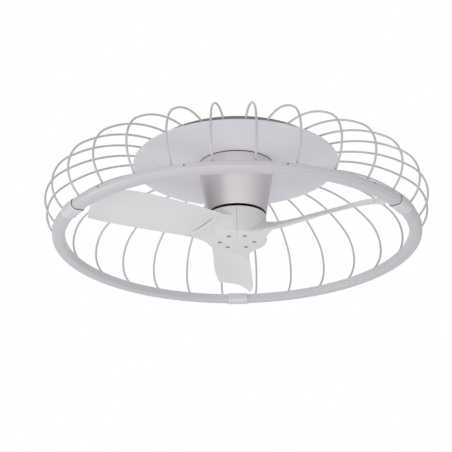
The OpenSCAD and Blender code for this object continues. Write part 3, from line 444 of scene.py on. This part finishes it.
# a Geometry Nodes tree with a geometry in and out and named inputs between
def newTree(name, inputs):
    tree = bpy.data.node_groups.new(name, "GeometryNodeTree")
    sockets = [("Geometry", "INPUT", "Geometry")]
    sockets += [(label, "INPUT", kind) for label, kind in inputs] + [("Geometry", "OUTPUT", "Geometry")]
    for label, side, kind in sockets:
        tree.interface.new_socket(label, in_out=side, socket_type="NodeSocket" + kind)
    return tree, addNode(tree, "NodeGroupInput").outputs


def mathNode(tree, operation, *sources):
    settings = {i: value for i, value in enumerate(sources) if isinstance(value, float)}
    links = {i: value for i, value in enumerate(sources) if not isinstance(value, float)}
    return addNode(tree, "ShaderNodeMath", {"operation": operation, **settings}, links).outputs["Value"]


# sets copies of a mesh on points, makes them real, coats them and ends the tree
def endWithCopies(tree, given, mesh, rotation, positions=None):
    links = {"Count": given["Count"]}
    if positions:
        links["Position"] = positions
    points = addNode(tree, "GeometryNodePoints", None, links)
    copies = addNode(tree, "GeometryNodeInstanceOnPoints", None,
                     {"Points": points.outputs["Points"], "Instance": mesh, "Rotation": rotation})
    real = addNode(tree, "GeometryNodeRealizeInstances", None, {"Geometry": copies.outputs["Instances"]})
    coated = addNode(tree, "GeometryNodeSetMaterial", None,
                     {"Geometry": real.outputs["Geometry"], "Material": given["Finish"]})
    addNode(tree, "NodeGroupOutput", None, {"Geometry": coated.outputs["Geometry"]})
    return tree


# sweeps the wire along its path and sets copies round the axis
def buildWireTree():
    tree, given = newTree("wiresRoundTheAxis", (
        ("Wire radius", "Float"), ("Sides", "Int"), ("Count", "Int"), ("First angle", "Float"),
        ("Angle between", "Float"), ("Finish", "Material")))
    curve = addNode(tree, "GeometryNodeMeshToCurve", None, {"Mesh": given["Geometry"]})
    circle = addNode(tree, "GeometryNodeCurvePrimitiveCircle", None,
                     {"Resolution": given["Sides"], "Radius": given["Wire radius"]})
    wire = addNode(tree, "GeometryNodeCurveToMesh", {"Fill Caps": True},
                   {"Curve": curve.outputs["Curve"], "Profile Curve": circle.outputs["Curve"]})
    index = addNode(tree, "GeometryNodeInputIndex").outputs["Index"]
    turned = mathNode(tree, "MULTIPLY_ADD", index, given["Angle between"], given["First angle"])
    turn = addNode(tree, "ShaderNodeCombineXYZ", None, {"Z": turned})
    return endWithCopies(tree, given, wire.outputs["Mesh"], turn.outputs["Vector"])


def setInputs(modifier, values):
    for item in modifier.node_group.interface.items_tree:
        if item.in_out == "INPUT" and item.name in values:
            modifier[item.identifier] = values[item.name]


# runs a tree once on a small seed mesh and keeps the plain mesh that comes out
def growPiece(name, seedMesh, tree, values, sharpAngle=40):
    piece = bpy.data.objects.new(name, seedMesh)
    scene.collection.objects.link(piece)
    modifier = piece.modifiers.new("grow", "NODES")
    modifier.node_group = tree
    setInputs(modifier, values)
    bpy.context.view_layer.update()
    bakeModifiers(piece)
    build = bmesh.new()
    build.from_mesh(piece.data)
    fillMesh(piece.data, build, sharpAngle)
    return piece


def buildWires(letter, middleAngle, tree):
    s = wireSizes
    path = [polar(r, z, 0) for r, z in wirePath()]
    seedMesh = bpy.data.meshes.new("wirePath" + letter)
    seedMesh.from_pydata(path, [(i, i + 1) for i in range(len(path) - 1)], [])
    cage = growPiece("cageWires" + letter, seedMesh, tree, {
        "Wire radius": s["diameter"] / 2 * mm, "Sides": s["sides"], "Count": s["count"],
        "First angle": math.radians(middleAngle + s["first"]), "Angle between": math.radians(s["between"]),
        "Finish": powderCoatedWire})
    place(cage, "fixture", powderCoatedWire, "painted_steel", "cage_wires_" + letter.lower())


wireTree = buildWireTree()
for letter, middleAngle in zip(letters, segmentAngles):
    buildWires(letter, middleAngle, wireTree)
print("cage made")


# ---- ceiling disc and cone ----

discSizes = {"radius": 274.3, "underside": -34, "sheet": 1.5, "flange": 2.7, "hole": 99.9, "lip": 3.5,
             "rimRound": 1.4, "holeRound": 0.6, "cutRound": 0.3, "turnStep": 1.5}


def buildDisc():
    s = discSizes
    low, top, cut = s["underside"], s["underside"] + s["sheet"], s["cutRound"]
    outline = roundedOutline([
        (s["radius"], low, s["rimRound"]), (s["hole"], low, s["holeRound"]),
        (s["hole"], low + s["lip"], cut), (s["hole"] + s["sheet"], low + s["lip"], cut),
        (s["hole"] + s["sheet"], top, 0),
        (s["radius"] - s["sheet"], top, 0), (s["radius"] - s["sheet"], low + s["flange"], cut),
        (s["radius"], low + s["flange"], cut)])
    place(sweptBody("canopyDisc", outline, step=s["turnStep"]), "fixture", powderCoatedSteel,
          "painted_steel", "canopy_disc")


buildDisc()

coneSizes = {"shoulderRadius": 101.5, "rimRadius": 79, "wall": 1.8, "rimGap": 6.2, "hubTop": 80.6,
             "plateLow": -13, "shoulder": -36.4, "neckRadius": 98.9, "flange": 10, "lip": 3,
             "rimSlope": 1.5, "rimHeight": 3.3, "shoulderRound": 0.7, "neckRound": 0.4, "slopeRound": 0.5,
             "rimRound": 1.2, "lipRound": 0.7, "insideLow": 0.2, "insideRound": 0.6, "turnStep": 2.0}


def buildCone():
    s = coneSizes
    rim = ringUnderside + s["hubTop"] + s["rimGap"]
    slope = (s["shoulderRadius"] - s["rimRadius"]) / (s["shoulder"] - rim - s["rimSlope"])
    neck, top, shoulder, wall = s["neckRadius"], s["plateLow"], s["shoulder"], s["wall"]
    lip, lipTop, inside = s["rimRadius"] - s["lip"], rim + s["rimHeight"], s["insideRound"]
    outline = roundedOutline([
        (neck, top, 0), (neck, shoulder, s["neckRound"]),
        (s["shoulderRadius"], shoulder, s["shoulderRound"]),
        (s["rimRadius"], rim + s["rimSlope"], s["slopeRound"]), (s["rimRadius"], rim, s["rimRound"]),
        (lip, rim, s["lipRound"]), (lip, lipTop, s["lipRound"]),
        (s["rimRadius"] - wall, lipTop, s["insideLow"]),
        (s["shoulderRadius"] - wall * (1 + slope), shoulder - wall, inside),
        (neck - wall, shoulder - wall, inside), (neck - wall, top - wall, inside),
        (neck - s["flange"], top - wall, 0), (neck - s["flange"], top, 0)], 6)
    place(sweptBody("coneHousing", outline, step=s["turnStep"]), "fixture", pearlLacquerAluminium,
          "satin_cone", "cone_housing")


buildCone()
print("disc and cone made")


# ---- blades and hub ----

bladeSizes = {"hubRadius": 77.5, "hubHeight": 71.6, "hubLift": 9, "shell": 3, "floor": 3, "tip": 414,
              "thickness": 2.8, "leadCut": 13, "trailCut": 6, "rootDepth": 1.6, "fillet": 3,
              "filletRise": 1.3, "spanSteps": 72, "chordSteps": 36, "lastSteps": (42, 24, 10, 2),
              "edgePower": 8, "filletPower": 6, "tipLeast": 0.0016}
hubSizes = {"core": 0.05, "seam": 0.35, "floorRound": 1, "innerTop": 0.8, "outerTop": 1.2, "lowRound": 2,
            "turnStep": 1.5}
# distance from the axis, then lead and trail offsets, their heights above the hub's underside, camber
bladeSections = [
    (44, 60, -61, 47, 7, 20), (78, 64, -38, 42, 5, 20), (104, 67, -32, 43, 4, 15),
    (160, 69, -35, 47, 4, 10), (230, 67, -39, 51, 4, 9), (300, 67, -42, 53, 4, 9),
    (360, 64, -44, 49, 4, 12), (414, 51, -36, 29, 3, 16)]
hubUnderside = ringUnderside + bladeSizes["hubLift"]


# smooth value of one column of the sections at a distance from the axis
def sectionValue(distance, column):
    rows = bladeSections
    i = 0
    while i < len(rows) - 2 and distance >= rows[i + 1][0]:
        i += 1

    def slopeAt(k):
        a, b = rows[max(0, k - 1)], rows[min(len(rows) - 1, k + 1)]
        return (b[column] - a[column]) / (b[0] - a[0])

    width = rows[i + 1][0] - rows[i][0]
    t = (distance - rows[i][0]) / width
    return (rows[i][column] * (2 * t ** 3 - 3 * t ** 2 + 1) + rows[i + 1][column] * (3 * t ** 2 - 2 * t ** 3)
            + width * slopeAt(i) * (t ** 3 - 2 * t ** 2 + t) + width * slopeAt(i + 1) * (t ** 3 - t ** 2))


# point of the blade's middle surface, with k = 0 at the trailing edge and 1 at the leading
def bladeMiddle(distance, k):
    lead, trail, up, low, camber = (sectionValue(distance, c) for c in (1, 2, 3, 4, 5))
    chord = math.hypot(lead - trail, up - low)
    rise = 4 * k * (1 - k) * camber
    return Vector((distance, trail + (lead - trail) * k - rise * (up - low) / chord,
                   hubUnderside + low + (up - low) * k + rise * (lead - trail) / chord))


def rootDistance(k):
    reach = bladeSizes["hubRadius"] - bladeSizes["rootDepth"]
    s = 60.0
    for _ in range(6):
        s = math.sqrt(reach ** 2 - bladeMiddle(s, k).y ** 2)
    return s


def tipDistance(k):
    b = bladeSizes
    return b["tip"] - b["trailCut"] * (2 * k - 1) ** 2 * (1 - k) - b["leadCut"] * (2 * k - 1) ** 2 * k


# the local frame of an angle has +X outwards along it and +Y along the direction of growing angle
def turnedTo(point, angle):
    turn = math.radians(angle - 90)
    c, s = math.cos(turn), math.sin(turn)
    return Vector((point.x * c - point.y * s, point.x * s + point.y * c, point.z)) * mm


def buildBladeLoft(angle):
    b = bladeSizes
    n = b["chordSteps"]
    ks = [(1 - math.cos(math.pi * i / n)) / 2 for i in range(n + 1)]
    edges = [(rootDistance(k), tipDistance(k)) for k in ks]
    outRound = b["thickness"] / 2
    # even steps, then short ones in ten-thousandths of the span where the tip is rounded
    us = [j / b["spanSteps"] for j in range(b["spanSteps"] - 1)]
    us += [1 - short / 10000 for short in b["lastSteps"]] + [1.0]

    def side(j, i, sign):
        root, tip = edges[i]
        distance = root + (tip - root) * us[j]
        middle = bladeMiddle(distance, ks[i])
        fromMiddle = abs(2 * ks[i] - 1)
        half = outRound * math.sqrt(max(0, 1 - fromMiddle ** b["edgePower"]))
        # the tip's edge is rounded, and the root swells into the hub's wall
        toTip = tip - distance
        if toTip < outRound:
            half *= math.sqrt(max(b["tipLeast"], 1 - (1 - toTip / outRound) ** 2))
        fromWall = math.hypot(distance, middle.y) - b["hubRadius"]
        if fromWall < b["fillet"]:
            nearWall = max(0, 1 - max(0, fromWall) / b["fillet"]) ** 2
            half += b["filletRise"] * nearWall * (1 - fromMiddle ** b["filletPower"])
        return turnedTo(middle + Vector((0, 0, sign * half)), angle)

    rings = []
    for j in range(len(us)):
        ring = [side(j, i, 1) for i in range(n + 1)]
        ring += [side(j, i, -1) for i in range(n - 1, 0, -1)]
        rings.append(ring)
    return loftBody("bladeLoft", rings, sharpAngle=40)


webSizes = {"nearStart": 21, "tipDistance": 134, "tipWidth": 5, "farStart": 58, "inset": 1.5,
            "rise": 2.2, "lift": 0.4, "sink": 0.2, "along": 28, "across": 10, "rootDepth": 2.3,
            "least": 0.5, "bow": 1.5, "cove": 6, "coveDrop": 14, "coveSteps": 8}


# the web between the blade's root and the hub's floor
def buildWeb(angle):
    w = webSizes
    reach = bladeSizes["hubRadius"] - w["rootDepth"]
    wallRadius = bladeSizes["hubRadius"] - bladeSizes["rootDepth"]
    nearS = wallRadius * math.cos(math.asin(w["nearStart"] / wallRadius))
    farT = sectionValue(w["farStart"], 2) + w["inset"]
    farS = wallRadius * math.cos(math.asin(farT / wallRadius))
    endT = sectionValue(w["tipDistance"], 2) + w["tipWidth"]

    # height of the blade's middle surface above a point, and never below the web's own least height
    def ceilingOver(x, y, z):
        lead, trail = sectionValue(x, 1), sectionValue(x, 2)
        k = min(0.98, max(0.02, (y - trail) / (lead - trail)))
        return max(z + w["least"], bladeMiddle(x, k).z - w["sink"])

    rings = []
    for j in range(w["along"] + 1):
        u = j / w["along"]
        z = hubUnderside + w["lift"] + w["rise"] * u * u
        a = Vector((nearS + (w["tipDistance"] - nearS) * u,
                    endT + (w["nearStart"] - endT) * (1 - u) ** w["bow"]))
        s = farS + (w["tipDistance"] - farS) * u
        b = Vector((s, sectionValue(s, 2) + w["inset"]))
        low, high = [], []
        for i in range(w["across"] + 1):
            p = a + (b - a) * i / w["across"]
            p = p * max(1, reach / p.length)
            low.append(turnedTo(Vector((p.x, p.y, z)), angle))
            high.append(turnedTo(Vector((p.x, p.y, ceilingOver(p.x, p.y, z))), angle))
        # the wall on the leading side runs out into the blade in a small cove
        cove = w["cove"] * (1 - u ** 4)
        foot = a * max(1, reach / a.length)
        top = ceilingOver(foot.x, foot.y + cove, z)
        high[0] = turnedTo(Vector((foot.x, foot.y + cove, top)), angle)
        drop = min(w["coveDrop"], 0.9 * (top - z))
        shares = [(i + 1) / w["coveSteps"] for i in range(w["coveSteps"])]
        wall = [turnedTo(Vector((foot.x, foot.y + cove * (1 - t) ** 3, top - drop * t)), angle)
                for t in shares]
        rings.append(low + high[::-1] + wall)
    return loftBody("web", rings, sharpAngle=40)


screwSizes = {"circle": 45, "spread": 33, "recess": 6.2, "seat": 4.9, "bossHeight": 9, "bossWall": 2.2,
              "shank": 2.6}


def cylinderAt(name, angle, radius, bottom, top, sides=40):
    centre = polar(screwSizes["circle"], 0, angle)
    turns = [2 * math.pi * i / sides for i in range(sides)]
    rings = [[centre + Vector((radius * math.cos(t), radius * math.sin(t), z)) * mm for t in turns]
             for z in (bottom, top)]
    return loftBody(name, rings)


def buildBlade(letter, angle):
    b, h, w = bladeSizes, hubSizes, screwSizes
    half = (120 - h["seam"]) / 2
    low, high = hubUnderside, hubUnderside + b["hubHeight"]
    floor, inner = low + b["floor"], b["hubRadius"] - b["shell"]
    outline = roundedOutline([
        (h["core"], low, 0), (h["core"], floor, 0), (inner, floor, h["floorRound"]),
        (inner, high, h["innerTop"]), (b["hubRadius"], high, h["outerTop"]),
        (b["hubRadius"], low, h["lowRound"])], 6)
    piece = sweptBody("blade" + letter, outline, angle - half, angle + half, h["turnStep"])
    screwAngles = (angle - w["spread"], angle + w["spread"])
    bosses = [cylinderAt("boss", at, w["recess"] + w["bossWall"], low + 1, low + w["bossHeight"])
              for at in screwAngles]
    combine(piece, [buildBladeLoft(angle), buildWeb(angle)] + bosses, "UNION")
    cuts = [cylinderAt("recess", at, w["recess"], low - 2, low + w["seat"]) for at in screwAngles]
    cuts += [cylinderAt("hole", at, w["shank"], low, low + w["bossHeight"] + 2, 24) for at in screwAngles]
    combine(piece, cuts, "DIFFERENCE")
    smoothMesh(piece.data, 28)
    place(piece, "rotor", mouldedAbs, "white_plastic", "blade_" + letter.lower())


for letter, angle in zip(letters, jointAngles):
    buildBlade(letter, angle)
print("blades made")


# ---- screws ----

bladeScrew = {"shank": 2.4, "length": 6, "head": 5.9, "headHeight": 2.4, "dome": 0.6, "cross": 2.6,
              "slit": 1.1, "deep": 1.5, "tip": 0.4, "middle": 0.02}
ringScrew = {"shank": 1.1, "length": 4, "head": 1.9, "headHeight": 0.7, "dome": 0.3, "cross": 1.0,
             "slit": 0.45, "deep": 0.6, "tip": 0.4, "middle": 0.02}


# one screw with its seat at the origin, its domed head below and its shank above
def screwMesh(name, s, sides=32):
    low = -s["headHeight"]
    # the dome is drawn through shares of the head's radius and of the dome's rise
    outline = [(s["middle"], low - s["dome"]), (0.5 * s["head"], low - 0.78 * s["dome"]),
               (0.85 * s["head"], low - 0.3 * s["dome"]), (s["head"], low + 0.25 * s["headHeight"]),
               (s["head"], 0), (s["shank"], 0), (s["shank"], s["length"] - s["tip"]),
               (s["shank"] - s["tip"], s["length"]), (s["middle"], s["length"])]
    piece = loftBody(name, [[polar(r, z, 360 * i / sides) for i in range(sides)] for r, z in outline])
    cutters = []
    for across, along in ((s["cross"], s["slit"] / 2), (s["slit"] / 2, s["cross"])):
        cut = bmesh.new()
        bmesh.ops.create_cube(cut, size=2 * mm)
        for v in cut.verts:
            v.co = Vector((v.co.x * across, v.co.y * along, v.co.z * s["deep"] + (low - s["dome"]) * mm))
        cutters.append(finishMesh("crossSlit", cut))
    combine(piece, cutters, "DIFFERENCE")
    mesh = piece.data
    bpy.data.objects.remove(piece)
    return mesh


# sets screws round the axis in groups, upright or laid flat with their heads outwards
def buildScrewTree():
    tree, given = newTree("screwsRoundTheAxis", (
        ("Count", "Int"), ("In a group", "Int"), ("First angle", "Float"), ("Angle in a group", "Float"),
        ("Angle between groups", "Float"), ("Distance", "Float"), ("Height", "Float"), ("Tilt", "Float"),
        ("Finish", "Material")))
    index = addNode(tree, "GeometryNodeInputIndex").outputs["Index"]
    group = mathNode(tree, "FLOOR", mathNode(tree, "DIVIDE", index, given["In a group"]))
    inGroup = mathNode(tree, "MODULO", index, given["In a group"])
    turned = mathNode(tree, "MULTIPLY_ADD", group, given["Angle between groups"], given["First angle"])
    angle = mathNode(tree, "MULTIPLY_ADD", inGroup, given["Angle in a group"], turned)
    x = mathNode(tree, "MULTIPLY", mathNode(tree, "SINE", angle), given["Distance"])
    y = mathNode(tree, "MULTIPLY", mathNode(tree, "COSINE", angle), given["Distance"])
    where = addNode(tree, "ShaderNodeCombineXYZ", None,
                    {"X": x, "Y": mathNode(tree, "MULTIPLY", y, -1.0), "Z": given["Height"]})
    facing = addNode(tree, "ShaderNodeCombineXYZ", None,
                     {"Y": given["Tilt"], "Z": mathNode(tree, "SUBTRACT", angle, math.pi / 2)})
    return endWithCopies(tree, given, given["Geometry"], facing.outputs["Vector"], where.outputs["Vector"])


screwTree = buildScrewTree()
bladeScrews = growPiece("bladeScrews", screwMesh("bladeScrew", bladeScrew), screwTree, {
    "Count": 6, "In a group": 2, "First angle": math.radians(60 - screwSizes["spread"]),
    "Angle in a group": math.radians(2 * screwSizes["spread"]), "Angle between groups": math.radians(120),
    "Distance": screwSizes["circle"] * mm, "Height": (hubUnderside + screwSizes["seat"]) * mm,
    "Tilt": 0.0, "Finish": blackOxideSteel})
place(bladeScrews, "rotor", blackOxideSteel, "black_screws", "blade_screws")

ringScrewSizes = {"spread": 43, "height": 16.5, "perSegment": 4}
ringScrews = growPiece("ringScrews", screwMesh("ringScrew", ringScrew), screwTree, {
    "Count": 3 * ringScrewSizes["perSegment"], "In a group": ringScrewSizes["perSegment"],
    "First angle": math.radians(-ringScrewSizes["spread"]),
    "Angle in a group": math.radians(2 * ringScrewSizes["spread"] / (ringScrewSizes["perSegment"] - 1)),
    "Angle between groups": math.radians(120),
    "Distance": (ringSizes["middle"] + ringSizes["width"] / 2) * mm,
    "Height": (ringUnderside + ringScrewSizes["height"]) * mm, "Tilt": -math.pi / 2,
    "Finish": blackOxideSteel})
place(ringScrews, "fixture", blackOxideSteel, "black_screws", "ring_screws")
print("screws made")


# ---- carried-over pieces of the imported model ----

nodeFinishes = {
    darkCoatedSteel: ["chassis_pan"],
    zincPlatedSteel: ["ceiling_bracket", "bracket_bolts", "disc_studs", "flange_bolts", "cone_screws",
                      "cross_bolt", "shaft_nut", "cover_screws"],
    dieCastAluminium: ["hanger_flange", "stator_carrier", "rotor_bell", "rotor_cover"],
    groundSteel: ["motor_shaft", "lower_bearing_inner", "lower_bearing_outer", "upper_bearing_inner",
                  "upper_bearing_outer", "back_iron"],
    stampedLaminations: ["stator_core"],
    enamelledCopper: ["stator_windings"],
    sinteredFerrite: ["rotor_magnets"],
    solderMaskWhite: ["led_strip_a", "led_strip_b", "led_strip_c"],
    caseWhite: ["led_driver", "terminal_block"],
    caseBlack: ["receiver_box"],
    # the cone gasket is black as painted shade for the shadow gap between the cone and the disc
    shadeBlack: ["cone_gasket"],
}
for finish, names in nodeFinishes.items():
    for name in names:
        slots = nodes[name].data.materials
        for i in range(max(1, len(slots))):
            if i < len(slots):
                slots[i] = finish
            else:
                slots.append(finish)
print("packed pieces finished")


# ---- camera, floor and light ----

# place and aim in metres, roll in degrees, lens and sensor in millimetres
viewSizes = {"place": (0.0, -3.1372, -1.4855), "aim": (-0.02847, 0.0, -0.20627), "roll": -0.5876,
             "lens": 102.70, "sensor": 36, "farthest": 200}


def buildCamera():
    v = viewSizes
    camera = bpy.data.objects.new("camera", bpy.data.cameras.new("camera"))
    scene.collection.objects.link(camera)
    camera.data.lens = v["lens"]
    camera.data.sensor_width = v["sensor"]
    camera.data.clip_end = v["farthest"]
    camera.location = v["place"]
    forward = (Vector(v["aim"]) - Vector(v["place"])).normalized()
    level = forward.cross(Vector((0, 0, 1))).normalized()
    upright = level.cross(forward)
    roll = math.radians(v["roll"])
    sideways = level * math.cos(roll) + upright * math.sin(roll)
    upwards = upright * math.cos(roll) - level * math.sin(roll)
    turnMatrix = camera.matrix_world.to_3x3()
    for column, axis in enumerate((sideways, upwards, -forward)):
        turnMatrix.col[column] = axis
    camera.rotation_euler = turnMatrix.to_euler()
    scene.camera = camera


# floor and aim in metres
lightSizes = {"floorDrop": 4.2, "floorRadius": 40, "skyLevel": 0.63, "floorLift": 0.5, "aimHeight": -0.15}


# a pale sky for the light, and plain white where the camera or a reflection looks past the fan
def buildWorld():
    world = bpy.data.worlds.new("paleRoom")
    scene.world = world
    world.use_nodes = True
    tree = world.node_tree
    tree.nodes.clear()
    path = addNode(tree, "ShaderNodeLightPath").outputs
    seen = mathNode(tree, "MAXIMUM", path["Is Camera Ray"], path["Is Glossy Ray"])
    seenAll = mathNode(tree, "MAXIMUM", seen, path["Is Transmission Ray"])
    soft = addNode(tree, "ShaderNodeBackground",
                   {"Color": linearColour("#f8f8fa"), "Strength": lightSizes["skyLevel"]})
    white = addNode(tree, "ShaderNodeBackground", {"Color": linearColour("#ffffff"), "Strength": 1.0})
    mix = addNode(tree, "ShaderNodeMixShader", None,
                  {"Fac": seenAll, 1: soft.outputs["Background"], 2: white.outputs["Background"]})
    addNode(tree, "ShaderNodeOutputWorld", None, {"Surface": mix.outputs["Shader"]})


# a floor far below that stays white to the camera and throws a soft light up
def buildFloor():
    build = bmesh.new()
    bmesh.ops.create_circle(build, cap_ends=True, radius=lightSizes["floorRadius"], segments=96)
    for v in build.verts:
        v.co.z = -lightSizes["floorDrop"]
    floor = finishMesh("floor", build)
    material = bpy.data.materials.new("paleFloor")
    material.use_nodes = True
    tree = material.node_tree
    tree.nodes.clear()
    matt = addNode(tree, "ShaderNodeBsdfDiffuse", {"Color": linearColour("#f3f3f3")}).outputs["BSDF"]
    lift = addNode(tree, "ShaderNodeEmission", {"Strength": lightSizes["floorLift"]}).outputs["Emission"]
    lifted = addNode(tree, "ShaderNodeAddShader", None, {0: matt, 1: lift}).outputs["Shader"]
    seen = addNode(tree, "ShaderNodeLightPath").outputs["Is Camera Ray"]
    mix = addNode(tree, "ShaderNodeMixShader", None, {"Fac": seen, 1: matt, 2: lifted})
    addNode(tree, "ShaderNodeOutputMaterial", None, {"Surface": mix.outputs["Shader"]})
    floor.data.materials.append(material)


# name, place, size and power of each soft white lamp, all aimed at the fan
lamps = [
    ("lowFront", (0.0, -3.0, -2.8), 1.8, 41),
    ("sideLeft", (-3.4, -0.6, -1.0), 2.0, 37),
    ("under", (0.0, 0.3, -3.6), 2.4, 9),
    ("farRight", (2.4, 2.4, -2.0), 2.0, 12),
    ("topSoft", (0.6, 0.8, 3.0), 2.4, 12)]


def buildLamps():
    for name, where, size, power in lamps:
        data = bpy.data.lights.new(name, "AREA")
        data.shape = "DISK"
        data.size = size
        data.energy = power
        lamp = bpy.data.objects.new(name, data)
        scene.collection.objects.link(lamp)
        lamp.location = where
        aim = Vector((0, 0, lightSizes["aimHeight"])) - Vector(where)
        lamp.rotation_euler = aim.to_track_quat("-Z", "Y").to_euler()


# A curved screen round the fan that only reflections see. Its shade by angle draws the cone's bands.
screenSizes = {"radius": 2200, "low": -1800, "high": 1500, "reach": 165, "steps": 66}
screenShades = [(-165, "#e0dcdf"), (-140, "#c8c3c7"), (-118, "#807a7e"), (-100, "#3c383a"), (-80, "#3c383a"),
                (-60, "#8a8488"), (-42, "#e8e4e6"), (-25, "#ffffff"), (15, "#ffffff"), (50, "#f0ecee"),
                (80, "#d2cdd0"), (110, "#bcb6ba"), (140, "#b6b1b4"), (165, "#d0ccce")]


def buildScreen():
    s = screenSizes
    build = bmesh.new()
    rows = []
    for j in range(s["steps"] + 1):
        a = s["reach"] * (2 * j / s["steps"] - 1)
        rows.append([build.verts.new(polar(s["radius"], z, a)) for z in (s["low"], s["high"])])
    for before, after in zip(rows, rows[1:]):
        build.faces.new((before[0], after[0], after[1], before[1]))
    screen = finishMesh("reflectionScreen", build)
    material = bpy.data.materials.new("shadedScreen")
    material.use_nodes = True
    tree = material.node_tree
    tree.nodes.clear()
    axes = addNode(tree, "ShaderNodeSeparateXYZ", None,
                   {"Vector": addNode(tree, "ShaderNodeTexCoord").outputs["Object"]}).outputs
    angle = mathNode(tree, "ARCTAN2", axes["X"], mathNode(tree, "MULTIPLY", axes["Y"], -1.0))
    share = addNode(tree, "ShaderNodeMapRange", {"From Min": -math.pi, "From Max": math.pi},
                    {"Value": angle})
    ramp = addNode(tree, "ShaderNodeValToRGB", None, {"Fac": share.outputs["Result"]})
    points = ramp.color_ramp.elements
    while len(points) < len(screenShades):
        points.new(0.5)
    for point, (at, shade) in zip(points, screenShades):
        point.position = at / 360 + 0.5
        point.color = linearColour(shade)
    glow = addNode(tree, "ShaderNodeEmission", None, {"Color": ramp.outputs["Color"]})
    addNode(tree, "ShaderNodeOutputMaterial", None, {"Surface": glow.outputs["Emission"]})
    screen.data.materials.append(material)
    for ray in ("camera", "diffuse", "shadow", "transmission", "volume_scatter"):
        setattr(screen, "visible_" + ray, False)


buildCamera()
buildWorld()
buildFloor()
buildLamps()
buildScreen()
scene.view_settings.view_transform = "Standard"
print("camera and light made")
